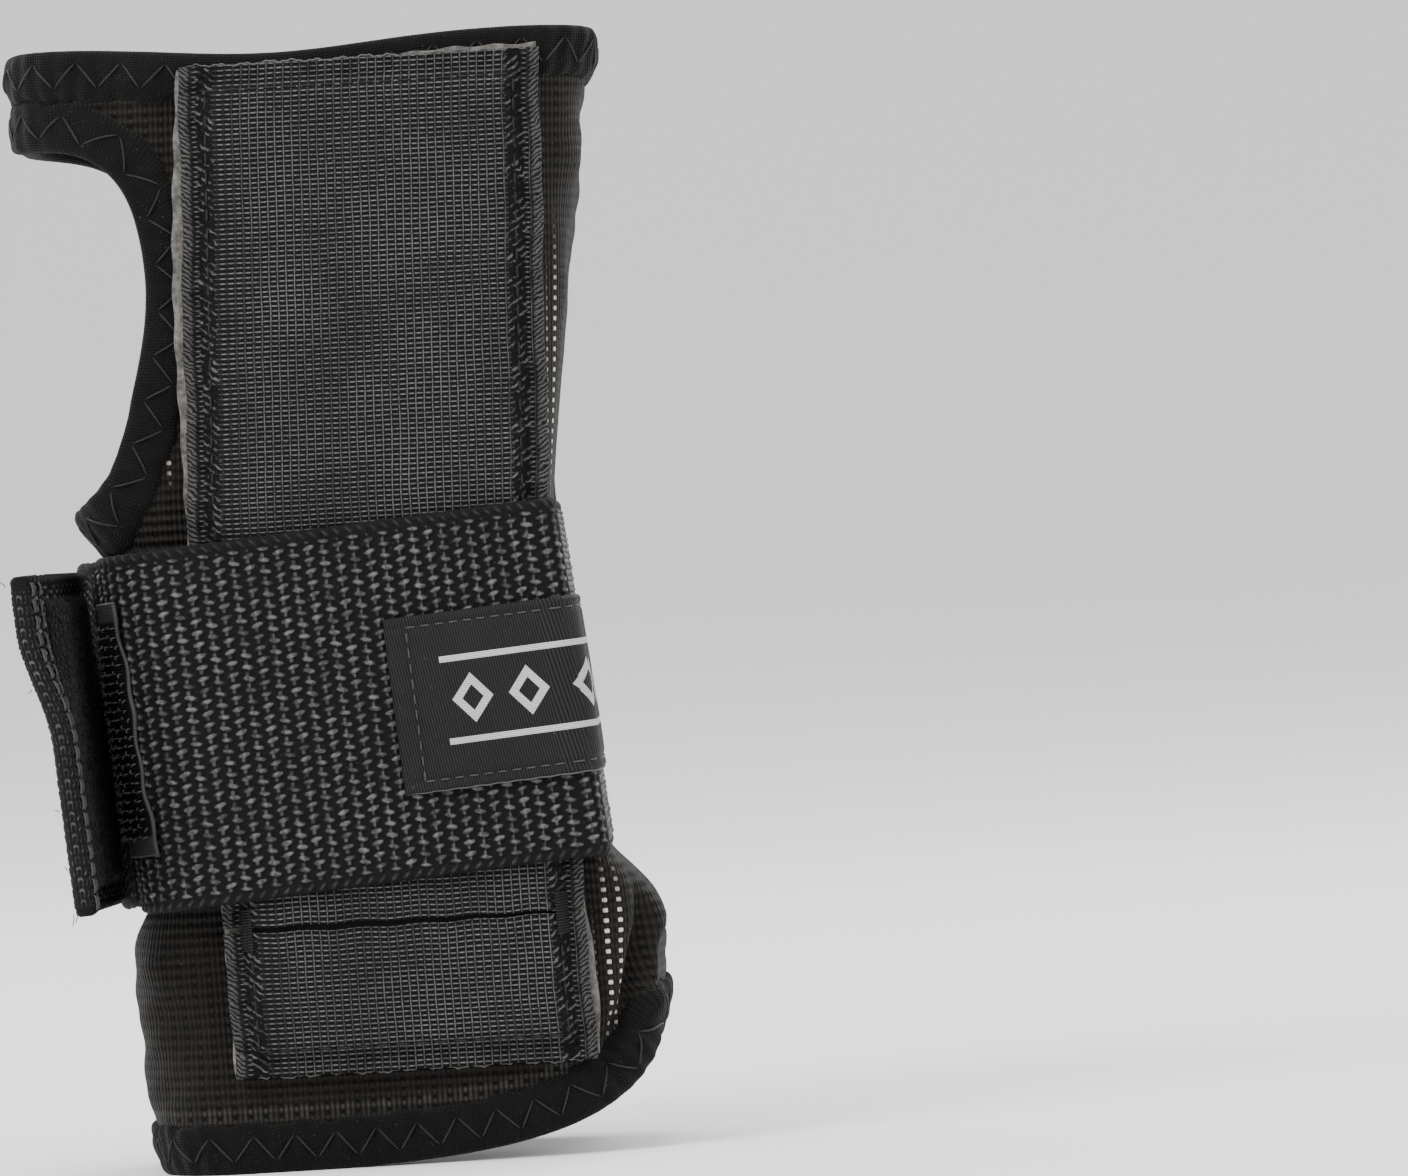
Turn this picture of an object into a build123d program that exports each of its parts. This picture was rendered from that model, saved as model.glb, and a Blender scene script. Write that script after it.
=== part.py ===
"""Wrist guard: a mesh sleeve with bound edges, two splint pockets, and a wrist strap with a peel-off tab.

Millimetres. +Z runs from the forearm opening to the fingers, -Y is the back of the hand, -X the thumb side.
The origin lies on the plane that the forearm hem stands on, on the midline of the splint pockets.
"""

import math
import os
from bisect import bisect_right

from build123d import *

# ---- sleeve: overall sizes ----
sleeve_height = 155.0
forearm_left = 36.5
forearm_right = 32.8
forearm_half_depth = 23.5
wrist_left = 36.9
wrist_half_depth = 20.5
hand_left = 48.6
hand_right = 31.5
hand_half_depth = 16.5
sleeve_wall = 1.5

# ---- sleeve: where its shape changes, as heights ----
flare_height = 22.0
flare_out = 1.4
thumb_base_out = 4.2

# ---- how far the pockets' midline bows to the thumb side, and its share at each height ----
wrist_bow = 2.3
bow_at_flare = 0.1
bow_at_strap_low = 0.3
bow_at_strap_top = 0.95
bow_at_hole_top = 0.25

# ---- corner radii of the sleeve's section ----
thumb_side_radius = 12.0
ulnar_wrist_radius = 5.0
ulnar_end_radius = 11.0

# ---- bindings ----
binding_width = 6.0
binding_skin = 0.8
binding_fit = 0.1
mesh_in_binding = 5.0

# ---- forearm hem: it climbs on the ulnar side along a quarter ellipse ----
hem_flat_to = 6.0
hem_climb = 20.0

# ---- thumb hole, seen from the back of the hand ----
hole_above_strap = 1.3
bridge_height = 13.6
hole_inner_edge = 31.1
hole_corner_radius = 9.0
hole_waist_radius = 30.0
hole_waist_rise = 3.0
hole_upper_shoulder = 2.0
hole_lower_shoulder = 5.5
hole_foot = 4.0
hole_foot_slope = 0.05

# ---- splint pockets ----
pocket_width = 49.0
pocket_bottom = 13.2
pocket_below_edge = 4.0
slit_below_strap = 3.8
slit_gap = 1.2
pocket_hem = 4.0
pocket_seam = 3.0
pocket_chamfer = 1.5
backing_extra = 1.0
backing_shift = 0.5
backing_inset = 0.6
backing_thickness = 1.0
splint_thickness = 1.8
splint_corner = 8.0
splint_clearance = 0.5
splint_side_clearance = 1.0
splint_free_play = 2.5
webbing_thickness = 1.2
layer_gap = 0.1

# ---- strap ----
strap_height = 49.0
strap_thickness = 1.6
strap_centre = 63.3
strap_tilt = 4.3
strap_gap = 0.3
strap_margin = 0.8
strap_past_wrist = 8.0
ulnar_margin = -0.2
strap_ulnar_radius = 3.0
strap_arc_bow = 0.6
strap_front_end = 5.0

# ---- what is sewn on the strap ----
hook_thickness = 1.4
hook_height = 35.0
hook_rear_end = 2.0
hook_wrap = 45.0
label_thickness = 0.6
label_height = 24.0
label_drop = 1.0
label_front_end = 0.5
label_rear_end = 4.0
sewn_gap = 0.1

# ---- tab: the strap's loose end ----
tab_trim = 1.25
tab_hinge_y = 13.5
tab_root_gap = 1.3
tab_fold_gap = 0.8
tab_clearance = 0.4
loop_thickness = 1.1
loop_rear_end = 4.0
loop_trim = 3.25
loop_fold_gap = 1.2
tab_hem = 6.0
tab_rest_open = 4.0
tab_rest_fold = 5.0

# ---- stitches that are pieces of their own ----
tack_length = 5.5
tack_width = 1.6
tack_thickness = 0.7
tack_inset = 2.4
anchor_width = 1.0
anchor_thickness = 0.4
anchor_height = 40.0

# ---- worked out from the above ----
lean = math.tan(math.radians(strap_tilt))
pocket_seat = binding_fit + binding_skin + layer_gap
pocket_floor = pocket_seat + backing_thickness
splint_inner = pocket_floor + splint_clearance
splint_outer = splint_inner + splint_thickness
pocket_roof = splint_outer + splint_clearance
pocket_outer = pocket_roof + webbing_thickness
strap_face_offset = pocket_outer + strap_gap
half_pocket = pocket_width / 2
backing_width = pocket_width + backing_extra
cavity_width = pocket_width - 2 * pocket_seam
splint_width = cavity_width - 2 * splint_side_clearance
wrist_right = half_pocket + ulnar_margin
strap_low = strap_centre - strap_height / 2
strap_high = strap_centre + strap_height / 2
strap_zone_low = strap_low - lean * (wrist_left + strap_past_wrist) - strap_margin
strap_zone_high = strap_high + lean * (wrist_right + strap_thickness) + strap_margin
hole_low = strap_zone_high + hole_above_strap - strap_margin
hole_high = sleeve_height - bridge_height
pocket_top = sleeve_height - pocket_below_edge
slit_height = strap_low - lean * half_pocket - slit_below_strap
tab_height = strap_height - 2 * tab_trim
loop_height = tab_height - 2 * loop_trim
far = 3.0 * sleeve_height


def wrist_shift(z):
    """How far the strap's tilt carries the wrist's section to the thumb side at a height."""
    return lean * (z - strap_centre)


low_shift = wrist_shift(strap_zone_low)
high_shift = wrist_shift(strap_zone_high)
strap_top_left = strap_high - lean * wrist_left + strap_gap
top_left_shift = wrist_shift(strap_top_left)
hand_part = (hole_high - strap_zone_high) / (sleeve_height - strap_zone_high)

# Each station: height, thumb side, ulnar side, half depth, thumb radius, ulnar radius, pocket midline.
stations = [
    (0.0, forearm_left, forearm_right, forearm_half_depth,
     thumb_side_radius, ulnar_end_radius, 0.0),
    (flare_height, forearm_left + flare_out, forearm_right + flare_out / 2,
     (forearm_half_depth + wrist_half_depth) / 2, thumb_side_radius, ulnar_end_radius,
     -bow_at_flare * wrist_bow),
    (strap_zone_low, wrist_left + low_shift, wrist_right - low_shift, wrist_half_depth,
     thumb_side_radius, ulnar_wrist_radius, -bow_at_strap_low * wrist_bow),
    (strap_top_left, wrist_left + top_left_shift, wrist_right - top_left_shift, wrist_half_depth,
     thumb_side_radius, ulnar_wrist_radius, -bow_at_strap_top * wrist_bow),
    (strap_zone_high, wrist_left + high_shift + thumb_base_out, wrist_right - high_shift,
     wrist_half_depth, thumb_side_radius, ulnar_wrist_radius, -wrist_bow),
    (hole_high, hand_left, wrist_right - high_shift + hand_part * (hand_right - wrist_right + high_shift),
     wrist_half_depth + hand_part * (hand_half_depth - wrist_half_depth),
     thumb_side_radius, ulnar_end_radius, -bow_at_hole_top * wrist_bow),
    (sleeve_height, hand_left, hand_right, hand_half_depth, thumb_side_radius, ulnar_end_radius, 0.0),
]
heights = [station[0] for station in stations]


def shape_at(z):
    """The sleeve's section sizes at a height, straight between stations and level beyond the ends."""
    if z <= heights[0]:
        return stations[0][1:]
    if z >= heights[-1]:
        return stations[-1][1:]
    upper = bisect_right(heights, z)
    low, high = stations[upper - 1], stations[upper]
    part_way = (z - low[0]) / (high[0] - low[0])
    return tuple(a + part_way * (b - a) for a, b in zip(low[1:], high[1:]))


def section(z, grow):
    """The sleeve's section, a rectangle with round corners, grown outwards all round."""
    left, right, depth, left_radius, right_radius, _ = shape_at(z)
    corners = [
        (-left - grow, -depth - grow, z),
        (right + grow, -depth - grow, z),
        (right + grow, depth + grow, z),
        (-left - grow, depth + grow, z),
    ]
    radii = [left_radius + grow, right_radius + grow, right_radius + grow, left_radius + grow]
    return make_face(FilletPolyline(*corners, radius=radii, close=True))


def levels(low, high):
    """The heights from low to high, with the stations between them."""
    return [low] + [z for z in heights if low + 0.01 < z < high - 0.01] + [high]


def body_of(grow, low, high):
    """The solid inside the sleeve's surface, grown outwards, between two heights."""
    return loft([section(z, grow) for z in levels(low, high)], ruled=True)


def shell(outside, inside):
    """A wall that follows the sleeve from one offset of its surface to another, open at both ends."""
    return body_of(outside, 0, sleeve_height) - body_of(inside, -1, sleeve_height + 1)


def through(outline):
    """An outline in the XZ plane, cut right through from back to palm."""
    return extrude(outline, amount=far, both=True)


def hand_edge(inset):
    """What lies above the hand opening's edge, or above a line further down."""
    return Pos(0, 0, sleeve_height - inset + far / 2) * Box(far, far, far)


def hem_curve(inset):
    """What lies below the forearm hem's lower edge, or below a line that runs further up the sleeve."""
    end_x = forearm_right + flare_out / 2
    width = end_x - hem_flat_to
    centre = (hem_flat_to, hem_climb)
    with BuildSketch(Plane.XZ) as below:
        with BuildLine():
            EllipticalCenterArc(centre, width - inset, hem_climb - inset, start_angle=270, arc_size=90)
            Polyline(
                (end_x - inset, hem_climb),
                (far, hem_climb),
                (far, -far),
                (-far, -far),
                (-far, inset),
                (hem_flat_to, inset),
            )
        make_face()
    return through(below.sketch)


def thumb_hole(inset):
    """The thumb hole, or the hole with a border of the sleeve round it."""
    upper, lower = hole_high + inset, hole_low - inset
    inner = -hole_inner_edge + inset
    points = [
        (-far, upper + 1),
        (inner - hole_upper_shoulder, upper - hole_upper_shoulder),
        (inner, (upper + lower) / 2 + hole_waist_rise),
        (inner - hole_lower_shoulder, lower + hole_foot),
        (-far, lower - hole_foot_slope * (far - hand_left)),
    ]
    corner = hole_corner_radius - 0.5 * inset
    radii = [1.0, corner, hole_waist_radius, corner, 1.0]
    with BuildSketch(Plane.XZ) as hole:
        with BuildLine():
            FilletPolyline(*points, radius=radii, close=True)
        make_face()
    return through(hole.sketch)


def binding(edge):
    """A folded binding along an edge of the sleeve: a strip that wraps the mesh from both sides."""
    fold = shell(binding_fit + binding_skin, -sleeve_wall - binding_fit - binding_skin)
    slot = shell(binding_fit, -sleeve_wall - binding_fit)
    slot_edge = binding_width - mesh_in_binding - binding_fit
    strip = (fold & edge(binding_width)) - edge(0)
    return strip - (slot - edge(slot_edge))


def make_sleeve():
    """The mesh tube without its edges, cut into its back and palm halves at the side seams."""
    mesh_edge = binding_width - mesh_in_binding
    mesh = shell(0, -sleeve_wall)
    for edge in (hand_edge, hem_curve, thumb_hole):
        mesh = mesh - edge(mesh_edge)
    back = mesh & Pos(0, -far / 2, 0) * Box(far, far, far)
    palm = mesh & Pos(0, far / 2, 0) * Box(far, far, far)
    return back, palm


def layer(side, low, high, width, inner, outer, shift=0.0, chamfer=0.0):
    """A flat layer over the sleeve's face: side is -1 on the back of the hand and 1 on the palm."""
    faces = []
    for z in levels(low, high):
        _, _, depth, _, _, midline = shape_at(z)
        left = midline + shift - width / 2
        right = midline + shift + width / 2
        near = side * (depth + inner)
        away = side * (depth + outer)
        brow = side * (depth + outer - chamfer)
        points = [(left, near, z), (right, near, z), (right, brow, z)]
        if chamfer:
            points += [(right - chamfer, away, z), (left + chamfer, away, z)]
        points += [(left, brow, z)]
        faces.append(make_face(Polyline(*points, close=True)))
    return loft(faces, ruled=True)


def make_pocket(side):
    """One splint pocket: its backing, its two lengths of webbing and its splint."""
    backing = layer(
        side, pocket_bottom + backing_inset, pocket_top - backing_inset,
        backing_width, pocket_seat, pocket_floor, shift=-backing_shift,
    )
    outside = pocket_floor + layer_gap
    slit_low, slit_high = slit_height - slit_gap / 2, slit_height + slit_gap / 2
    upper = layer(side, slit_high, pocket_top, pocket_width, outside, pocket_outer, 0, pocket_chamfer)
    upper = upper - layer(side, slit_high - 1, pocket_top - pocket_hem, cavity_width, 0, pocket_roof)
    lower = layer(side, pocket_bottom, slit_low, pocket_width, outside, pocket_outer, 0, pocket_chamfer)
    lower = lower - layer(side, pocket_bottom + pocket_hem, slit_low + 1, cavity_width, 0, pocket_roof)
    splint_low = pocket_bottom + pocket_hem + splint_clearance
    splint_high = pocket_top - pocket_hem - splint_clearance - splint_free_play
    splint = layer(side, splint_low, splint_high, splint_width, splint_inner, splint_outer)
    middle = (splint_low + splint_high) / 2
    with BuildSketch(Plane.XZ) as rounded:
        with Locations((0, middle)):
            RectangleRounded(splint_width + 2 * wrist_bow, splint_high - splint_low, splint_corner)
    return backing, upper, lower, splint & through(rounded.sketch)


def make_bar_tacks(side):
    """The two short thread bars that hold the slit's ends."""
    tacks = []
    reach = half_pocket - tack_inset - pocket_chamfer / 2
    for end in (-1, 1):
        tacks.append(layer(
            side, slit_height - tack_length / 2, slit_height + tack_length / 2, tack_width,
            pocket_outer + sewn_gap, pocket_outer + sewn_gap + tack_thickness, shift=end * reach,
        ))
    return Compound(tacks)


# ---- strap: drawn flat in its own plane, then raised to the wrist with its tilt ----
strap_place = Pos(0, 0, strap_centre) * Rot(0, -strap_tilt, 0)
half_strap = strap_thickness / 2
thumb_u = -wrist_left - strap_gap - half_strap
ulnar_u = wrist_right + strap_gap + half_strap
face_y = wrist_half_depth + strap_face_offset + half_strap
thumb_arc = wrist_left + strap_gap - half_pocket - strap_arc_bow * wrist_bow + half_strap
ulnar_arc = strap_ulnar_radius + half_strap
corner_u = thumb_u + thumb_arc
corner_y = -face_y + thumb_arc
hook_stack = half_strap + sewn_gap + hook_thickness
loop_stack = half_strap + sewn_gap + loop_thickness
tab_u = thumb_u - hook_stack - tab_clearance - loop_stack
tab_reach = -(tab_u - corner_u)
fold_y = corner_y - tab_reach * math.tan(math.radians(hook_wrap / 2))
tab_end_length = 2 * tab_reach * math.tan(math.radians(hook_wrap / 2))


def band(path, thickness, low, high):
    """A flat strip of a thickness, standing on its path between two heights in the strap's frame."""
    return extrude(Pos(0, 0, low) * trace(path, line_width=thickness), amount=high - low)


def plate(u_range, y_range, height):
    """A flat rectangular piece of the tab, level with the strap's middle."""
    width, length = u_range[1] - u_range[0], y_range[1] - y_range[0]
    centre = (sum(u_range) / 2, sum(y_range) / 2, 0)
    return Pos(*centre) * Box(width, length, height)


def make_strap():
    """The strap round the wrist, from its sewn thumb end by the back of the hand to the tab's hinge."""
    path = FilletPolyline(
        (thumb_u, strap_front_end),
        (thumb_u, -face_y),
        (ulnar_u, -face_y),
        (ulnar_u, face_y),
        (tab_u, face_y),
        (tab_u, tab_hinge_y + tab_root_gap),
        radius=[thumb_arc, ulnar_arc, ulnar_arc, thumb_arc - tab_root_gap],
    )
    return band(path, strap_thickness, -strap_height / 2, strap_height / 2)


def make_hook_patch():
    """Hook tape on the strap's thumb end, round part of the corner towards the back of the hand."""
    out = half_strap + sewn_gap + hook_thickness / 2
    side_line = Line((thumb_u - out, hook_rear_end), (thumb_u - out, corner_y))
    corner = CenterArc((corner_u, corner_y), thumb_arc + out, 180, hook_wrap)
    return band(side_line + corner, hook_thickness, -hook_height / 2, hook_height / 2)


def make_label():
    """The woven label, folded round the strap's ulnar corner."""
    out = half_strap + sewn_gap + label_thickness / 2
    path = FilletPolyline(
        (label_front_end, -face_y - out),
        (ulnar_u + out, -face_y - out),
        (ulnar_u + out, label_rear_end),
        radius=ulnar_arc + out,
    )
    return band(path, label_thickness, -label_height / 2 - label_drop, label_height / 2 - label_drop)


def make_anchor_stitches():
    """Two thread rows across the strap's thumb end, beside the hook tape."""
    outer_face = thumb_u - half_strap - sewn_gap
    rows = []
    for y in (hook_rear_end + anchor_width, strap_front_end - anchor_width):
        rows.append(plate(
            (outer_face - anchor_thickness, outer_face),
            (y - anchor_width / 2, y + anchor_width / 2),
            anchor_height,
        ))
    return Compound(rows)


hinge_axis = Axis((tab_u, tab_hinge_y, 0), (0, 0, -1))
fold_axis = Axis((tab_u, fold_y, 0), (0, 0, -1))


def make_tab():
    """The tab's two lengths and their loop tape, peeled open a little as the tab rests."""
    skin = (tab_u - half_strap, tab_u + half_strap)
    loop = (tab_u + half_strap + sewn_gap, tab_u + loop_stack)
    end_y = fold_y - tab_end_length
    root = plate(skin, (fold_y + tab_fold_gap, tab_hinge_y - tab_root_gap), tab_height)
    root_loop = plate(loop, (fold_y + loop_fold_gap, loop_rear_end), loop_height)
    end = plate(skin, (end_y, fold_y - tab_fold_gap), tab_height)
    hem = plate((tab_u, tab_u + 3 * half_strap), (end_y, end_y + tab_hem), tab_height)
    end_loop = plate(loop, (end_y + tab_hem + sewn_gap, fold_y - loop_fold_gap), loop_height)
    end = (end + hem).rotate(fold_axis, tab_rest_fold)
    end_loop = end_loop.rotate(fold_axis, tab_rest_fold)
    return [piece.rotate(hinge_axis, tab_rest_open) for piece in (root, root_loop, end, end_loop)]


pieces = {}
pieces["sleeve_back_panel"], pieces["sleeve_palm_panel"] = make_sleeve()
pieces["hand_hem_binding"] = binding(hand_edge)
pieces["thumb_hole_binding"] = binding(thumb_hole)
pieces["forearm_hem_binding"] = binding(hem_curve)
for name, side in (("back", -1), ("palm", 1)):
    backing, upper, lower, splint = make_pocket(side)
    pieces[name + "_pocket_backing"] = backing
    pieces[name + "_pocket_upper_webbing"] = upper
    pieces[name + "_pocket_lower_webbing"] = lower
    pieces[name + "_splint"] = splint
    pieces[name + "_pocket_bar_tacks"] = make_bar_tacks(side)
pieces["wrist_strap"] = strap_place * make_strap()
pieces["hook_patch"] = strap_place * make_hook_patch()
pieces["side_label"] = strap_place * make_label()
pieces["strap_anchor_stitches"] = strap_place * make_anchor_stitches()
tab_root, tab_loop_root, tab_end, tab_loop_end = make_tab()
pieces["strap_tab_root"] = strap_place * tab_root
pieces["tab_loop_root"] = strap_place * tab_loop_root
pieces["strap_tab_end"] = strap_place * tab_end
pieces["tab_loop_end"] = strap_place * tab_loop_end

os.makedirs("parts", exist_ok=True)
for name, piece in pieces.items():
    export_step(piece, f"parts/{name}.step")

opening = math.radians(tab_rest_open)
reach = tab_hinge_y - fold_y
fold_at_rest = (tab_u - reach * math.sin(opening), tab_hinge_y - reach * math.cos(opening), 0)
for name, point in (("tab hinge", (tab_u, tab_hinge_y, 0)), ("tab fold", fold_at_rest)):
    placed = strap_place * Pos(*point)
    print(name, [round(value, 3) for value in placed.position])
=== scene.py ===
"""Wrist guard: the looks of its sleeve, bindings, splint pockets, strap and tab, over the CAD frame."""

import math

import bpy
import numpy as np
from mathutils import Matrix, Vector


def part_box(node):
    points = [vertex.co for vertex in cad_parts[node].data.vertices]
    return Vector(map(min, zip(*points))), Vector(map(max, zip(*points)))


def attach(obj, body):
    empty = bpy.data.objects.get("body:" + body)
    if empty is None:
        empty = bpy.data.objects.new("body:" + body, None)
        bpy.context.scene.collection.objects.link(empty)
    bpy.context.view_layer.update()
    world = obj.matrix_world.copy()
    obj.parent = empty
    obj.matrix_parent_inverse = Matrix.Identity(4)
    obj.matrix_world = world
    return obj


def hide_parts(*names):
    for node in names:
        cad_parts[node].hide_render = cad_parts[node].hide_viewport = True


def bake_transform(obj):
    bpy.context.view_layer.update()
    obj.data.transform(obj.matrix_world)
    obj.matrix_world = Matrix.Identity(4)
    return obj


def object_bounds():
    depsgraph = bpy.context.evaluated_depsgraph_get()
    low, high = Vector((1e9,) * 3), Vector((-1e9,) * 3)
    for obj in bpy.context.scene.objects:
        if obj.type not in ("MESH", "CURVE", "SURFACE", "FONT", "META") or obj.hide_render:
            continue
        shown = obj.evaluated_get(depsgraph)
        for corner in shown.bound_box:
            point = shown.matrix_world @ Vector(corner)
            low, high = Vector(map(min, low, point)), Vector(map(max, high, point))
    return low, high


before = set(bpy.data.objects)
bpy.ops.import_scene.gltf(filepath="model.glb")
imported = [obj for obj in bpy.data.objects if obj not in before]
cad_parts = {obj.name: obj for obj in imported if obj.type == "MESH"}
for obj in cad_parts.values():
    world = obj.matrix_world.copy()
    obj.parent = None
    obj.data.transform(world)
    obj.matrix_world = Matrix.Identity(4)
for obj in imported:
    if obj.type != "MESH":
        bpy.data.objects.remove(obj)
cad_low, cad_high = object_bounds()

mm = 0.001

# ---- studio ----
# The guard stands on its forearm hem in the middle of a pale bowl: a flat floor that curves up into a wall.
# Soft panels light it from the front, both sides and behind, and a long lens looks straight at the back of
# the hand.
view_width = 192.9
view_centre = (42.6, -15.0, 76.0)
view_lean = math.radians(3.36)
lens, sensor = 230.0, 36.0

camera_data = bpy.data.cameras.new("camera")
camera_data.lens, camera_data.sensor_width = lens, sensor
camera_data.clip_start, camera_data.clip_end = 0.05, 20.0
camera = bpy.data.objects.new("camera", camera_data)
bpy.context.scene.collection.objects.link(camera)
distance = view_width * lens / sensor
right = (math.cos(view_lean), 0.0, -math.sin(view_lean))
up = (math.sin(view_lean), 0.0, math.cos(view_lean))
turn = Matrix((right, up, (0.0, -1.0, 0.0))).transposed().to_4x4()
place = (view_centre[0] * mm, (view_centre[1] - distance) * mm, view_centre[2] * mm)
camera.matrix_world = Matrix.Translation(place) @ turn
bpy.context.scene.camera = camera

floor_radius, bowl_radius, bowl_height = 0.9, 3.4, 1.1


def mesh_object(name, points, faces):
    """An object whose mesh has these points, in metres, and faces, shaded smooth."""
    mesh = bpy.data.meshes.new(name)
    mesh.from_pydata(np.asarray(points).reshape(-1, 3).tolist(), [], faces)
    mesh.shade_smooth()
    made = bpy.data.objects.new(name, mesh)
    bpy.context.scene.collection.objects.link(made)
    return made


def grid_faces(rows, columns, closed=False):
    """The quads of a grid of points, row after row; closed joins the last column to the first."""
    index = np.arange(rows * columns).reshape(rows, columns)
    if closed:
        index = np.concatenate([index, index[:, :1]], axis=1)
    corners = [index[:-1, :-1], index[:-1, 1:], index[1:, 1:], index[1:, :-1]]
    return np.stack(corners, -1).reshape(-1, 4)


def make_floor():
    """The bowl: a disc, then a quarter ellipse upwards, turned round the vertical axis."""
    rise = np.linspace(0, math.pi / 2, 17)
    radius = np.r_[0.001, 0.3, 0.6, floor_radius + (bowl_radius - floor_radius) * np.sin(rise)]
    height = np.r_[0, 0, 0, bowl_height * (1 - np.cos(rise))]
    round_ = np.linspace(0, 2 * math.pi, 96, endpoint=False)[:, None]
    points = np.stack([radius * np.cos(round_), radius * np.sin(round_), height + 0 * round_], -1)
    faces = grid_faces(len(radius), len(round_), closed=True)
    return mesh_object("floor", points.transpose(1, 0, 2), faces.tolist())


floor = make_floor()
paper = bpy.data.materials.new("pale_paper")
paper.use_nodes = True
paper_shader = paper.node_tree.nodes["Principled BSDF"]
paper_shader.inputs["Base Color"].default_value = (0.93, 0.93, 0.93, 1)
paper_shader.inputs["Roughness"].default_value = 0.85
floor.data.materials.append(paper)

sky = bpy.data.worlds.new("sky")
sky.use_nodes = True
sky.node_tree.nodes["Background"].inputs["Color"].default_value = (1, 1, 1, 1)
sky.node_tree.nodes["Background"].inputs["Strength"].default_value = 1.05
bpy.context.scene.world = sky

# Each panel: azimuth, height, distance, size and power.
light_panels = {
    "key": (-38, 0.85, 0.95, 0.45, 13),
    "fill": (48, 0.45, 1.1, 0.6, 5),
    "rear_left": (150, 0.8, 1.1, 0.6, 8),
    "rear_right": (-140, 0.5, 1.2, 0.6, 6),
    "top": (5, 1.3, 0.15, 0.5, 6),
}
for name, (azimuth, height, away, size, power) in light_panels.items():
    lamp = bpy.data.lights.new(name, "AREA")
    lamp.size, lamp.energy = size, power
    panel = bpy.data.objects.new(name, lamp)
    turned = math.radians(azimuth)
    spot = (math.sin(turned) * away, -math.cos(turned) * away, height)
    panel.location = spot
    aim = Matrix.Translation((0, 0, 0.08)).to_translation() - panel.location
    panel.rotation_euler = aim.to_track_quat("-Z", "Y").to_euler()
    bpy.context.scene.collection.objects.link(panel)

# ---- sleeve ----
# A tube of ribbed eyelet mesh, sewn from a back and a palm half at the thumb and little finger sides.
# It narrows to the wrist, flares at the forearm and is cut away round the thumb.
wall = 1.5
hand_edge_height = cad_high.z / mm

# Each station: height, thumb side, little finger side, half depth, thumb and ulnar radius, pocket midline.
stations = np.array([
    (0.0, 35.4, 31.6, 23.5, 12.0, 11.0, 0.0),
    (8.0, 36.8, 32.4, 23.0, 12.0, 11.0, -0.1),
    (15.0, 38.0, 33.0, 22.5, 12.0, 11.0, -0.2),
    (24.0, 38.5, 33.8, 21.8, 12.0, 10.0, -0.4),
    (31.0, 38.6, 33.9, 20.9, 12.0, 9.0, -0.6),
    (34.0, 38.3, 33.2, 20.6, 12.0, 8.5, -0.7),
    (36.8, 35.2, 31.6, 20.5, 12.0, 7.5, -0.8),
    (40.0, 35.0, 28.6, 20.5, 12.0, 6.0, -0.9),
    (42.4, 35.2, 26.0, 20.5, 12.0, 5.0, -0.9),
    (85.3, 38.5, 21.8, 20.5, 12.0, 5.0, -2.2),
    (90.6, 43.1, 22.2, 20.5, 12.0, 5.0, -2.3),
    (141.4, 48.6, 29.3, 17.3, 12.0, 11.0, -0.6),
    (hand_edge_height, 48.6, 31.5, 16.5, 12.0, 11.0, 0.0),
])
blur = np.linspace(-2.5, 2.5, 7)


def shape_at(z):
    """The section's sizes at each height: straight between stations, with the corners there averaged away."""
    z = np.asarray(z, float)
    near = z[..., None] + blur
    return [np.interp(near, stations[:, 0], column).mean(-1) for column in stations[:, 1:].T]


def half_girth(z):
    """The distance round half the section, from the thumb seam to the little finger seam."""
    left, right, depth, r1, r2, _ = shape_at(z)
    return 2 * depth + left + right + (math.pi / 2 - 2) * (r1 + r2)


def face_distance(x, z):
    """The distance from the thumb seam, along the back of the hand, at which the section has this x."""
    left, _, depth, r1, _, _ = shape_at(z)
    angle = np.arccos(np.clip(1 - (x + left) / r1, 0, 1))
    return depth - r1 + r1 * angle + np.maximum(x + left - r1, 0)


def bell(value, middle, width):
    """A smooth bump of height 1 round a middle value."""
    return np.exp(-(((value - middle) / width) ** 2))


def rise(value, low, high):
    """A smooth step from 0 to 1."""
    t = np.clip((value - low) / (high - low), 0, 1)
    return t * t * (3 - 2 * t)


def forearm_edge(x):
    """The height of the forearm hem's edge at an x: level, then a rounded climb to the little finger side."""
    climb, start, end, roundness = 23.5, -26.0, 33.6, 3.1
    t = np.clip((x - start) / (end - start), 0, 1)
    return climb * (1 - (1 - t ** roundness) ** (1 / roundness))


def hand_edge_at(share):
    """The hand opening's edge: drawn down where the pocket is sewn, and a little at the ulnar side."""
    return hand_edge_height - 0.3 - 1.2 * share ** 6 - 2.1 * bell(share, 0.46, 0.19)


def fold_depth(a, z, x):
    """The deep fold at the forearm's outer corner: a furrow that slants down beside the pocket to the hem."""
    from_seam = half_girth(z) - a
    furrow = np.interp(z, [8.0, 14.0, 24.0, 36.0, 42.0], [26.0, 24.0, 19.0, 15.0, 14.0])
    along = np.exp(-(((z - 24.0) / 12.0) ** 4)) * rise(z - forearm_edge(x), 3.0, 9.0)
    groove = -3.4 * np.exp(-(((from_seam - furrow) / 2.4) ** 2))
    lip = 1.3 * np.exp(-(((from_seam - furrow + 6.0) / 3.5) ** 2))
    return along * (groove + lip)


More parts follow.
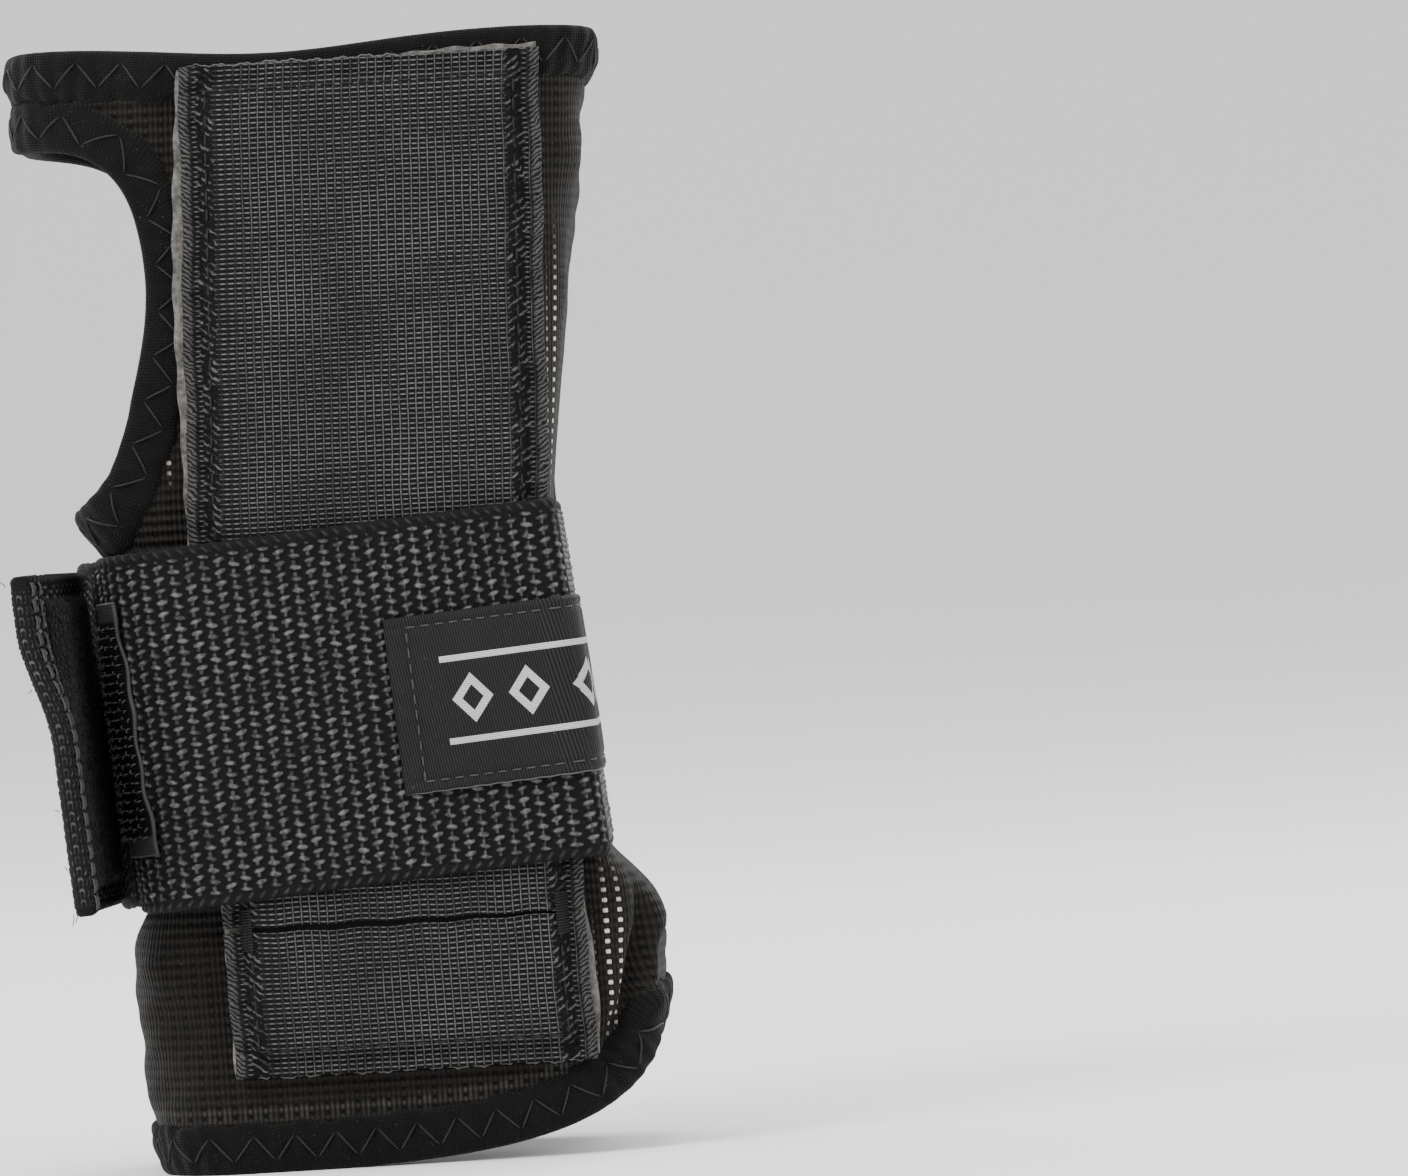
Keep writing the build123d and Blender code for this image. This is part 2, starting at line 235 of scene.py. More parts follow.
def creases(p, z):
    """Soft creases in the loose cloth: a few waves of different slants, none under strap or pockets."""
    x, y = p[..., 0], p[..., 1]
    waves = (
        0.34 * np.sin(0.31 * z + 0.16 * x + 0.11 * y)
        + 0.24 * np.sin(0.17 * z - 0.33 * x + 0.21 * y + 1.3)
        + 0.15 * np.sin(0.62 * z + 0.27 * x - 0.3 * y + 0.6)
        + 0.08 * np.sin(1.15 * z - 0.4 * x + 0.5 * y)
    )
    strap = np.clip((np.abs(z - 62.0) - 27.0) / 6.0, 0, 1)
    pocket = np.clip((np.abs(x + 1.0) - 25.5) / 4.0, 0, 1)
    return waves * strap * pocket


def under_pocket(x, z, middle):
    """How far the cloth is pushed out to meet a pocket's felt backing, between the two hem bindings."""
    return 0.85 * rise(25.5 - np.abs(x - middle), 0.0, 3.5) * rise(z, 8.5, 12.5) * rise(149.0 - z, 0.0, 4.0)


def sleeve_at(a, z, out=0.0):
    """A point of the sleeve and its normal: a is the way round from the thumb seam, minus on the palm.

    The section is a straight side, a quarter circle, the flat face, a quarter circle and the other side."""
    a, z = np.broadcast_arrays(np.asarray(a, float), np.asarray(z, float))
    left, right, depth, r1, r2, middle = shape_at(z)
    run = np.abs(a)
    side, flat = depth - r1, left + right - r1 - r2
    t1 = np.clip((run - side) / r1, 0, math.pi / 2)
    t2 = np.clip((run - side - r1 * math.pi / 2 - flat) / r2, 0, math.pi / 2)
    past = run - side - r1 * math.pi / 2 - flat - r2 * math.pi / 2
    x = -left + r1 * (1 - np.cos(t1)) + np.clip(run - side - r1 * math.pi / 2, 0, flat) + r2 * np.sin(t2)
    y = -np.clip(run, None, side) - r1 * np.sin(t1) + r2 * (1 - np.cos(t2)) + np.clip(past, 0, None)
    normal_x = np.where(t1 < math.pi / 2, -np.cos(t1), np.sin(t2))
    normal_y = np.where(t1 < math.pi / 2, -np.sin(t1), -np.cos(t2))
    side_sign = np.where(a < 0, -1.0, 1.0)
    point = np.stack([x, y * side_sign, z], -1)
    normal = np.stack([normal_x, normal_y * side_sign, 0 * x], -1)
    bump = creases(point, z) + fold_depth(run, z, x) + under_pocket(x, z, middle)
    return point + normal * (bump + out)[..., None], normal


def forearm_edge_along(fraction):
    """The forearm hem's edge, as distance round and height, at each fraction of the half girth."""
    z = np.zeros_like(fraction)
    for _ in range(6):
        point, _ = sleeve_at(fraction * half_girth(z), z)
        z = 0.5 * z + 0.5 * forearm_edge(point[..., 0])
    return fraction * half_girth(z), z


def spline(points, steps):
    """A uniform cubic B-spline over a control polygon, its ends pulled onto the first and last points."""
    p = np.asarray(points, float)
    p = np.concatenate([2 * p[:1] - p[1:2], p, 2 * p[-1:] - p[-2:-1]])
    t = np.linspace(0, 1, steps, endpoint=False)[:, None]
    weights = [(1 - t) ** 3, 3 * t ** 3 - 6 * t ** 2 + 4, -3 * t ** 3 + 3 * t ** 2 + 3 * t + 1, t ** 3]
    spans = [sum(w * p[i + k] for k, w in enumerate(weights)) / 6 for i in range(len(p) - 3)]
    return np.concatenate(spans + [p[-2:-1]])


def evenly(path, step, closed=False):
    """The same line with its points about a step apart."""
    if closed:
        path = np.concatenate([path, path[:1]])
    run = np.r_[0, np.cumsum(np.linalg.norm(np.diff(path, axis=0), axis=1))]
    at = np.linspace(0, run[-1], int(run[-1] / step) + 1, endpoint=not closed)
    return np.stack([np.interp(at, run, column) for column in path.T], -1)


# The thumb hole's edge seen from the back of the hand, from the crotch of the thumb up to the bridge.
hole_outline = spline([
    (-43.4, 91.0), (-40.2, 92.6), (-37.6, 95.4), (-35.0, 102.0), (-32.8, 110.0), (-30.9, 118.5),
    (-31.2, 126.5), (-32.5, 133.5), (-35.6, 138.4), (-40.4, 140.7), (-48.5, 141.3),
], 12)


def hole_loop():
    """The hole's whole edge as distance round and height: the outline, its palm-side mirror, and the seam."""
    x, z = hole_outline.T
    half = np.stack([face_distance(x, z), z], -1)
    half = np.concatenate([[(0.0, z[0] + 0.1)], half, [(0.0, z[-1] + 0.1)]])
    half = evenly(half, 0.7)
    whole = np.concatenate([half, (half * (-1, 1))[::-1][1:-1]])
    for _ in range(12):
        whole = 0.5 * whole + 0.25 * (np.roll(whole, 1, 0) + np.roll(whole, -1, 0))
    return evenly(whole, 0.7, closed=True)


def sideways(path):
    """The unit normals of a closed flat line, to the right of its direction."""
    along = np.roll(path, -1, 0) - np.roll(path, 1, 0)
    along /= np.linalg.norm(along, axis=1, keepdims=True)
    return np.stack([along[:, 1], -along[:, 0]], -1)


hole = hole_loop()
hole_side = sideways(hole)
if ((hole - hole.mean(0)) * hole_side).sum() < 0:
    hole_side = -hole_side


def build_cloth(name, points, quads, loop_uv, facts):
    """Puts points in millimetres, quads and a UV for each corner into an object, with point attributes."""
    used, packed = np.unique(quads, return_inverse=True)
    made = mesh_object(name, points[used] * mm, packed.reshape(quads.shape).tolist())
    layer = made.data.uv_layers.new(name="threads")
    layer.data.foreach_set("uv", np.asarray(loop_uv, np.float32).ravel())
    for label, values in facts.items():
        attribute = made.data.attributes.new(label, "FLOAT", "POINT")
        attribute.data.foreach_set("value", np.asarray(values, np.float32).ravel()[used])
    return made


def grid_object(name, points, uv, wrap=(False, False), flip=False, **facts):
    """A grid of points as one surface; wrap joins the last row or column to the first; uv has one more."""
    rows, columns = points.shape[:2]
    i, j = np.meshgrid(np.arange(rows - 1 + wrap[0]), np.arange(columns - 1 + wrap[1]), indexing="ij")
    steps = [(0, 0), (0, 1), (1, 1), (1, 0)]
    quads = np.stack([(i + p) % rows * columns + (j + q) % columns for p, q in steps], -1).reshape(-1, 4)
    corner = np.stack([(i + p) * uv.shape[1] + j + q for p, q in steps], -1).reshape(-1, 4)
    flat = points.reshape(-1, 3)
    if all(wrap):
        a, b, c = (flat[quads[:, k]] for k in (0, 1, 2))
        flip = (np.cross(a, b) * c).sum() < 0
    if flip:
        quads, corner = quads[:, ::-1], corner[:, ::-1]
    return build_cloth(name, flat, quads, uv.reshape(-1, 2)[corner], facts)


def sheet_object(name, outer, inner, uv, keep=None, **facts):
    """A sheet with an outer and an inner face, joined at every free edge. A dropped point takes its faces."""
    rows, columns = outer.shape[:2]
    quads = grid_faces(rows, columns)
    if keep is not None:
        quads = quads[keep.ravel()[quads].all(1)]
    count = rows * columns
    start, end = quads.ravel(), np.roll(quads, -1, 1).ravel()
    free = ~np.isin(start * count + end, end * count + start)
    start, end = start[free], end[free]
    rim = np.stack([end, start, start + count, end + count], -1)
    faces = np.concatenate([quads, quads[:, ::-1] + count, rim])
    points = np.concatenate([outer.reshape(-1, 3), inner.reshape(-1, 3)])
    twice = np.concatenate([uv.reshape(-1, 2)] * 2)
    doubled = {label: np.tile(np.ravel(values), 2) for label, values in facts.items()}
    return build_cloth(name, points, faces, twice[faces], doubled)


def in_loop(a, z, loop):
    """Whether each point lies inside a closed line, by counting the line's crossings to one side."""
    (x0, y0), (x1, y1) = loop.T[:, :, None], np.roll(loop, -1, 0).T[:, :, None]
    spans = (y0 > z.ravel()) != (y1 > z.ravel())
    reach = x0 + (z.ravel() - y0) * (x1 - x0) / np.where(y1 == y0, 1, y1 - y0)
    return ((spans & (a.ravel() < reach)).sum(0) % 2 == 1).reshape(a.shape)


cut_back, cloth_step = 1.2, 0.82


def sleeve_half(name, fractions):
    """Half of the sleeve: rows climb from the forearm hem to the hand edge, columns go round."""
    _, low = forearm_edge_along(np.abs(fractions))
    low = low + cut_back
    rows = np.linspace(0, 1, int(hand_edge_height / cloth_step))[:, None]
    z = low + (hand_edge_at(np.abs(fractions)) - cut_back - low) * rows
    girth = half_girth(z)
    a = fractions * girth
    outer, normal = sleeve_at(a, z)
    keep = ~in_loop(a, z, hole + cut_back * hole_side)
    across = np.abs(a) - face_distance(shape_at(z)[5], z)
    # Where the eyelets are painted pale: painted light showing through them. Elsewhere they are painted near
    # black, as painted shade.
    light_through = np.maximum.reduce([
        bell(across, 26.6, 1.5) * bell(z, 106, 22),
        bell(across, 28.3, 2.9) * bell(z, 27, 13),
        0.8 * bell(across, -26.6, 1.2) * bell(z, 99, 6),
    ])
    tuft = bell(z - low, 6.9, 0.7) * (0.6 + 0.4 * np.sin(1.7 * across) * np.sin(0.61 * across + 1))
    uv = np.stack([across, z], -1)
    return sheet_object(name, outer, outer - wall * normal, uv, keep, open=light_through, tuft=tuft)


columns = int(118 / cloth_step)
back_cloth = sleeve_half("sleeve_back_cloth", np.linspace(0, 1, columns))
palm_cloth = sleeve_half("sleeve_palm_cloth", np.linspace(-1, 0, columns))


def shader_node(tree, kind, inputs=None, **settings):
    """Adds a shader node and returns it; each input is a value or another node's output."""
    made = tree.nodes.new("ShaderNode" + kind)
    for key, value in settings.items():
        setattr(made, key, value)
    for key, value in (inputs or {}).items():
        if isinstance(value, bpy.types.NodeSocket):
            tree.links.new(value, made.inputs[key])
        else:
            made.inputs[key].default_value = value
    return made


def calc(tree, operation, *values):
    """One step of arithmetic on shader values."""
    return shader_node(tree, "Math", dict(enumerate(values)), operation=operation).outputs[0]


def ramp(tree, value, low, high, to_low=0.0, to_high=1.0):
    """A value carried smoothly from one range to another."""
    inputs = {0: value, 1: low, 2: high, 3: to_low, 4: to_high}
    return shader_node(tree, "MapRange", inputs, interpolation_type="SMOOTHSTEP").outputs[0]


def blend_colour(tree, factor, a, b, kind="MIX"):
    """Two colours mixed by a factor."""
    made = shader_node(tree, "Mix", {0: factor, 6: a, 7: b}, data_type="RGBA", blend_type=kind)
    return made.outputs[2]


def new_group(name, inputs, outputs):
    """A shader node group with named sockets: inputs are (name, kind, value) and outputs (name, kind)."""
    tree = bpy.data.node_groups.new(name, "ShaderNodeTree")
    for label, kind, value in inputs:
        socket = tree.interface.new_socket(label, in_out="INPUT", socket_type="NodeSocket" + kind)
        if value is not None:
            socket.default_value = value
    for label, kind in outputs:
        tree.interface.new_socket(label, in_out="OUTPUT", socket_type="NodeSocket" + kind)
    return tree, tree.nodes.new("NodeGroupInput").outputs, tree.nodes.new("NodeGroupOutput").inputs


def grey(level, warm=0.0):
    """A nearly neutral colour, slightly red and less blue where it is warm."""
    return (level * (1 + warm), level, level * (1 - warm), 1.0)


def make_lint_group():
    """Wear that every cloth here shares: uneven dye in broad patches, and sparse pale specks of lint."""
    tree, given, result = new_group(
        "dye_and_lint",
        [("Colour", "Color", grey(0.03)), ("Unevenness", "Float", 0.25), ("Lint", "Float", 0.5)],
        [("Colour", "Color")],
    )
    place = shader_node(tree, "TexCoord").outputs["Object"]
    patch = shader_node(tree, "TexNoise", {"Vector": place, "Scale": 90.0, "Detail": 3.0}).outputs[0]
    lighter = blend_colour(tree, 1.0, given["Colour"], grey(1.35), "MULTIPLY")
    darker = blend_colour(tree, 1.0, given["Colour"], grey(0.7), "MULTIPLY")
    shade = blend_colour(tree, ramp(tree, patch, 0.3, 0.7), darker, lighter)
    uneven = blend_colour(tree, given["Unevenness"], given["Colour"], shade)
    speck = shader_node(tree, "TexNoise", {"Vector": place, "Scale": 2600.0, "Detail": 1.0}).outputs[0]
    sparse = calc(tree, "MULTIPLY", ramp(tree, speck, 0.72, 0.8), given["Lint"])
    tree.links.new(blend_colour(tree, sparse, uneven, grey(0.07, 0.08)), result["Colour"])
    return tree


dye_and_lint = make_lint_group()


def cloth_material(name, sheen=0.25, roughness=0.75, specular=0.3, tint=(1, 1, 1, 1)):
    """A cloth's shader with its sheen; returns the material, its node tree and the shader node."""
    material = bpy.data.materials.new(name)
    material.use_nodes = True
    tree = material.node_tree
    shader = tree.nodes["Principled BSDF"]
    fixed = {"Roughness": roughness, "Specular IOR Level": specular, "Sheen Weight": sheen,
             "Sheen Roughness": 0.45, "Sheen Tint": tint}
    for key, value in fixed.items():
        shader.inputs[key].default_value = value
    return material, tree, shader


def use_group(tree, group, inputs):
    """Places a node group in a material and returns its outputs."""
    made = shader_node(tree, "Group", {}, node_tree=group)
    for key, value in inputs.items():
        if isinstance(value, bpy.types.NodeSocket):
            tree.links.new(value, made.inputs[key])
        else:
            made.inputs[key].default_value = value
    return made.outputs


def thread_uv(tree):
    """The piece's own thread coordinates in millimetres, across and along."""
    split = shader_node(tree, "SeparateXYZ", {0: shader_node(tree, "UVMap", uv_map="threads").outputs[0]})
    return split.outputs[0], split.outputs[1]


def finish_cloth(tree, shader, colour, height, depth, unevenness=0.25, lint=0.5, roughness=None):
    """Links a cloth's colour, through the shared dye and lint, and its fine relief, to the shader."""
    dyed = use_group(tree, dye_and_lint, {"Colour": colour, "Unevenness": unevenness, "Lint": lint})
    tree.links.new(dyed["Colour"], shader.inputs["Base Color"])
    bump = shader_node(tree, "Bump", {"Strength": 1.0, "Distance": depth * mm, "Height": height})
    tree.links.new(bump.outputs[0], shader.inputs["Normal"])
    if roughness is not None:
        tree.links.new(roughness, shader.inputs["Roughness"])


def wave(tree, value, pitch):
    """A cosine wave of a pitch, from 0 between threads to 1 on them."""
    turned = calc(tree, "MULTIPLY", value, 2 * math.pi / pitch)
    return calc(tree, "MULTIPLY_ADD", calc(tree, "COSINE", turned), 0.5, 0.5)


def make_mesh_material():
    """Warp-knit eyelet mesh: ribs across, fine loops, and a column of eyelets every few loops."""
    rib_pitch, eyelet_pitch, loop_pitch = 1.4, 2.1, 0.7
    material, tree, shader = cloth_material("knit_mesh_cloth", sheen=0.03, roughness=0.7, specular=0.1)
    u, v = thread_uv(tree)
    rib = wave(tree, v, rib_pitch)
    loops = wave(tree, u, loop_pitch)
    gap = calc(tree, "SUBTRACT", 1.0, rib)
    column = ramp(tree, wave(tree, u, eyelet_pitch), 0.55, 0.85)
    eyelet = ramp(tree, calc(tree, "MULTIPLY", column, gap), 0.45, 0.75)
    dimple = ramp(tree, calc(tree, "MULTIPLY", calc(tree, "SUBTRACT", 1.0, loops), gap), 0.55, 0.9)
    # Painted shade in the knit: the dimples between the loops are painted darker, and the loops over the ribs
    # lighter.
    dark = blend_colour(tree, dimple, grey(0.006, 0.2), grey(0.0015, 0.1))
    yarn = blend_colour(tree, calc(tree, "MULTIPLY", rib, loops), dark, grey(0.014, 0.18))
    tuft = shader_node(tree, "Attribute", attribute_name="tuft").outputs["Fac"]
    yarn = blend_colour(tree, calc(tree, "MULTIPLY", tuft, loops), yarn, grey(0.05, 0.05))
    # The eyelets are painted, not pierced: near black as painted shade inside them, and pale grey as painted
    # light showing through them in the marked zones.
    light_through = shader_node(tree, "Attribute", attribute_name="open").outputs["Fac"]
    through = blend_colour(tree, ramp(tree, light_through, 0.25, 0.8), grey(0.002, 0.1), grey(0.5, 0.12))
    colour = blend_colour(tree, eyelet, yarn, through)
    height = calc(tree, "MULTIPLY_ADD", loops, 0.35, rib)
    finish_cloth(tree, shader, colour, calc(tree, "SUBTRACT", height, eyelet), 0.35, 0.4, 0.4)
    return material


mesh_material = make_mesh_material()
for piece, node in ((back_cloth, "sleeve_back_panel"), (palm_cloth, "sleeve_palm_panel")):
    piece.data.materials.append(mesh_material)
    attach(piece, "guard")
    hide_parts(node)

# ---- bindings ----
# Smooth stretch tape folded over each cut edge of the mesh: hand hem, thumb hole and forearm hem.
# A zig-zag stitch in grey thread holds each one down, and puckers it at every turn.
tape_width, tape_bulge, tape_squareness = 7.0, 1.75, 3.2
tape_middle = tape_width / 2 - 0.1
zigzag_pitch, zigzag_reach = 6.0, 3.4
profile_turn = np.linspace(0, 2 * math.pi, 28, endpoint=False)


def power(value, exponent):
    """A signed power, which squares off a circle."""
    return np.sign(value) * np.abs(value) ** exponent


def tape_grid(edge, inward, edge_girth=None):
    """The folded tape: a squared-off oval carried along an edge, across it and through the cloth's thickness.

    edge and inward are distance round and height; its girth rescales the distance at other heights."""
    across = tape_middle + tape_width / 2 * power(np.cos(profile_turn), 2 / tape_squareness)
    thick = tape_bulge * power(np.sin(profile_turn), 2 / tape_squareness)
    run = np.r_[0, np.cumsum(np.linalg.norm(np.diff(edge, axis=0), axis=1))]
    pucker = 1 + 0.07 * np.cos(4 * math.pi * run / zigzag_pitch)
    pucker = pucker + 0.05 * np.sin(run * 0.37) * np.sin(run * 1.9)
    slack = 1 + 0.035 * np.sin(run * 0.9) + 0.02 * np.sin(run * 2.3 + 1)
    at = edge[:, None] + inward[:, None] * (across * slack[:, None])[..., None]
    a, z = at[..., 0], at[..., 1]
    if edge_girth is not None:
        a = a * half_girth(z) / edge_girth[:, None]
    point, _ = sleeve_at(a, z, -wall / 2 + thick * pucker[:, None])
    around = np.r_[0, np.cumsum(np.hypot(np.diff(across), np.diff(thick)))]
    return point, run, around


def tape_object(name, edge, inward, edge_girth=None):
    """The tape as a closed ring, with thread coordinates along and around it."""
    point, run, around = tape_grid(edge, inward, edge_girth)
    run, around = np.r_[run, run[-1] + run[1]], np.r_[around, around[-1] + around[1]]
    uv = np.stack(np.meshgrid(run, around, indexing="ij"), -1)
    return grid_object(name, point, uv, wrap=(True, True))


def tubes(paths, normals, radius, sides=6):
    """Round threads along many short paths at once, pinched to a point at both ends."""
    along = np.gradient(paths, axis=1)
    along /= np.linalg.norm(along, axis=-1, keepdims=True)
    beside = np.cross(along, normals)
    beside /= np.linalg.norm(beside, axis=-1, keepdims=True)
    over = np.cross(beside, along)
    turn = np.linspace(0, 2 * math.pi, sides, endpoint=False)[:, None]
    share = np.linspace(-1, 1, paths.shape[1])
    thick = (radius * np.sqrt(np.clip(1 - share ** 6, 0.02, 1)))[:, None, None]
    ring = np.cos(turn) * over[:, :, None] + np.sin(turn) * beside[:, :, None]
    return paths[:, :, None] + thick * ring


def threads_object(name, groups, twist=0.9):
    """Thread tubes from several (paths, normals, radius) as one object; uv runs along and around each."""
    points, quads, corners, offset = [], [], [], 0
    for paths, normals, radius in groups:
        grid = tubes(paths, normals, radius)
        count, length, sides = grid.shape[:3]
        k, i, j = np.meshgrid(np.arange(count), np.arange(length - 1), np.arange(sides), indexing="ij")
        steps = [(0, 0), (0, 1), (1, 1), (1, 0)]
        round_tube = [offset + (k * length + i + p) * sides + (j + q) % sides for p, q in steps]
        quads.append(np.stack(round_tube, -1))
        run = np.linalg.norm(np.diff(paths, axis=1), axis=-1).cumsum(1)
        run = np.concatenate([0 * run[:, :1], run], 1)
        corners.append(np.stack([
            np.stack([run[k, i + p], (j + q) * twist / sides], -1) for p, q in steps
        ], -2))
        points.append(grid.reshape(-1, 3))
        offset += count * length * sides
    quads = np.concatenate([q.reshape(-1, 4) for q in quads])
    corners = np.concatenate([c.reshape(-1, 4, 2) for c in corners])
    return build_cloth(name, np.concatenate(points), quads[:, ::-1], corners[:, ::-1], {})


def on_tape(edge, inward, edge_girth, at, across, lift):
    """Points on the tape's outer face, or its inner face where lift is minus, at each share of its length."""
    where = at % 1 * len(edge)
    index = np.arange(len(edge) + 1)
    both = np.concatenate([edge, edge[:1]]), np.concatenate([inward, inward[:1]])
    pick = [np.stack([np.interp(where, index, line[:, k]) for k in (0, 1)], -1) for line in both]
    spot = pick[0] + pick[1] * across[..., None]
    a, z = spot[..., 0], spot[..., 1]
    if edge_girth is not None:
        a = a * half_girth(z) / np.interp(where, index, np.r_[edge_girth, edge_girth[:1]])
    side = np.clip(np.abs(across - tape_middle) / (tape_width / 2), 0, 1)
    top = tape_bulge * (1 - side ** tape_squareness) ** (1 / tape_squareness)
    return sleeve_at(a, z, -wall / 2 + np.sign(lift) * (top + np.abs(lift)))


def zigzag(edge, inward, edge_girth, face):
    """The zig-zag's slanting stitches on one face: each rises over the tape and dips in at its ends."""
    length = np.linalg.norm(np.diff(edge, axis=0), axis=1).sum()
    teeth = 2 * round(length / zigzag_pitch)
    share = np.linspace(0, 1, 9)
    step = (np.arange(teeth)[:, None] + 0.03 + 0.94 * share) / teeth
    swing = np.where(np.arange(teeth)[:, None] % 2, share, 1 - share) - 0.5
    lift = 0.02 + 0.13 * np.sin(math.pi * share)
    point, normal = on_tape(edge, inward, edge_girth, step, tape_middle + zigzag_reach * swing, face * lift)
    return point, normal * face, 0.17


def hem_line(along, vertical, count=620):
    """A hem as a closed line round the sleeve: distances round and heights, inward normals, and girths."""
    fraction = np.linspace(-1, 1, count, endpoint=False) + 1 / count
    a, z = along(np.abs(fraction))
    edge = np.stack([a * np.sign(fraction), z], -1)
    run = np.gradient(edge, axis=0)
    run /= np.linalg.norm(run, axis=1, keepdims=True)
    return edge, np.stack([-run[:, 1], run[:, 0]], -1) * vertical, half_girth(z)


def hand_edge_along(fraction):
    """The hand hem's edge, as distance round and height, at each fraction of the half girth."""
    z = hand_edge_at(fraction)
    return fraction * half_girth(z), z


lines = {
    "hand_hem": hem_line(hand_edge_along, -1),
    "thumb_hole": (hole, hole_side, None),
    "forearm_hem": hem_line(forearm_edge_along, 1),
}


def make_jersey_material():
    """Fine stretch jersey: very fine wales with a soft slub, matt and nearly black."""
    material, tree, shader = cloth_material("jersey_tape", sheen=0.05, roughness=0.85, specular=0.06)
    u, v = thread_uv(tree)
    wales = wave(tree, calc(tree, "ADD", u, calc(tree, "MULTIPLY", v, 0.2)), 0.42)
    courses = wave(tree, v, 0.36)
    place = shader_node(tree, "TexCoord").outputs["Object"]
    slub = shader_node(tree, "TexNoise", {"Vector": place, "Scale": 900.0, "Detail": 3.0}).outputs[0]
    wrinkle = shader_node(tree, "TexNoise", {"Vector": place, "Scale": 240.0, "Detail": 2.0}).outputs[0]
    knit = calc(tree, "MULTIPLY", wales, courses)
    # Painted light and shade in the knit: the loops' tops are painted lighter and the gaps between them
    # darker, varied at random by the slub.
    colour = blend_colour(tree, calc(tree, "MULTIPLY", knit, slub), grey(0.004, 0.02), grey(0.014, 0.02))
    height = calc(tree, "MULTIPLY_ADD", wrinkle, 2.5, calc(tree, "MULTIPLY_ADD", slub, 0.8, knit))
    finish_cloth(tree, shader, colour, height, 0.12, 0.3, 0.5)
    return material


def make_thread_material(name, level, warm=0.02):
    """Twisted polyester thread: slanting strands, a slight shine, and painted shade between the strands."""
    material, tree, shader = cloth_material(name, sheen=0.0, roughness=0.45, specular=0.2)
    u, v = thread_uv(tree)
    strands = wave(tree, calc(tree, "ADD", u, calc(tree, "MULTIPLY", v, 0.6)), 0.3)
    # Painted shade: the grooves between the strands are painted darker.
    colour = blend_colour(tree, strands, grey(level * 0.45, warm), grey(level, warm))
    finish_cloth(tree, shader, colour, strands, 0.05, 0.2, 0.2)
    return material


jersey = make_jersey_material()
grey_thread = make_thread_material("grey_thread", 0.017)
for name, line in lines.items():
    tape = tape_object(name + "_tape", *line)
    tape.data.materials.append(jersey)
    stitches = threads_object(name + "_zigzag", [zigzag(*line, 1), zigzag(*line, -1)])
    stitches.data.materials.append(grey_thread)
    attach(tape, "guard")
    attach(stitches, "guard")
    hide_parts(name + "_binding")

# ---- splint pockets ----
# On the back and on the palm: a felt backing, two lengths of fine webbing sewn down round their edges, and a
# plastic splint between them. The slit where the two lengths meet lets the splint out. Bar tacks end it.
pocket_half = 24.5
pocket_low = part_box("back_pocket_lower_webbing")[0].z / mm
slit_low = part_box("back_pocket_lower_webbing")[1].z / mm
slit_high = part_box("back_pocket_upper_webbing")[0].z / mm
pocket_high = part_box("back_pocket_upper_webbing")[1].z / mm
backing_inner, backing_outer = 1.0, 2.0
seam_out, body_out, seam_inset = 3.5, 5.9, 3.5
column_pitch, row_pitch = 1.15, 0.68
rims = (pocket_low, pocket_high)


def layer_at(side, across, z, out):
    """A point over the sleeve's flat face: side -1 is the back of the hand, 1 the palm."""
    across, z, out = np.broadcast_arrays(across, z, out)
    shape = shape_at(z)
    return np.stack([shape[5] + across, side * (shape[2] + out), z], -1)


def pocket_height(across, z):
    """How far the webbing's face stands off: low at its rim, raised over the splint, drawn in by stitches."""
    from_side = pocket_half - np.abs(across)
    from_end = np.minimum(z - rims[0], rims[1] - z)
    ramp_start, ramp_end = seam_inset - 1.2, seam_inset + 0.4
    inner = rise(from_side, ramp_start, ramp_end) * rise(from_end, ramp_start, ramp_end)
    stitch = np.maximum(bell(from_side, seam_inset, 0.5), bell(from_end, seam_inset, 0.5))
    rim = np.minimum(from_side, from_end)
    border = bell(rim, seam_inset / 2, 1.3)
    run = np.where(from_side < from_end, z, across)
    puff = border * (0.30 * np.sin(run * 1.05 + 0.9 * np.sin(run * 0.31)) + 0.16 * np.sin(run * 2.4 + 1))
    ripple = 0.10 * np.sin(0.23 * z + 0.35 * across) + 0.07 * np.sin(0.9 * across - 0.12 * z)
    lip = 0.35 * (bell(z, slit_high, 1.4) - 0.5 * bell(z, slit_low, 1.6)) * (inner > 0.9)
    return seam_out + (body_out - seam_out) * inner - 0.45 * stitch + puff + ripple * inner + lip


def weave_rows(across, z):
    """The webbing's relief: rows of short weft floats with a dip where each warp thread binds them."""
    rows = np.cos(math.pi * z / row_pitch) ** 2
    floats = 0.35 + 0.65 * np.sin(math.pi * across / column_pitch) ** 2
    return rows * floats


def turned_under(low, high, step):
    """Grid lines from low to high with four more at each end that turn the edge under: places and drops."""
    line = np.linspace(low, high, int((high - low) / step) + 1)
    drop = np.zeros_like(line)
    for end, inward in ((line[:1], 1), (line[-1:], -1)):
        place = end + inward * np.array([-0.12, -0.1, 0.05, 2.0])
        down = np.array([0.3, 0.8, 1.15, 1.2])
        if inward > 0:
            line, drop = np.r_[place[::-1], line], np.r_[down[::-1], drop]
        else:
            line, drop = np.r_[line, place], np.r_[drop, down]
    return line, drop


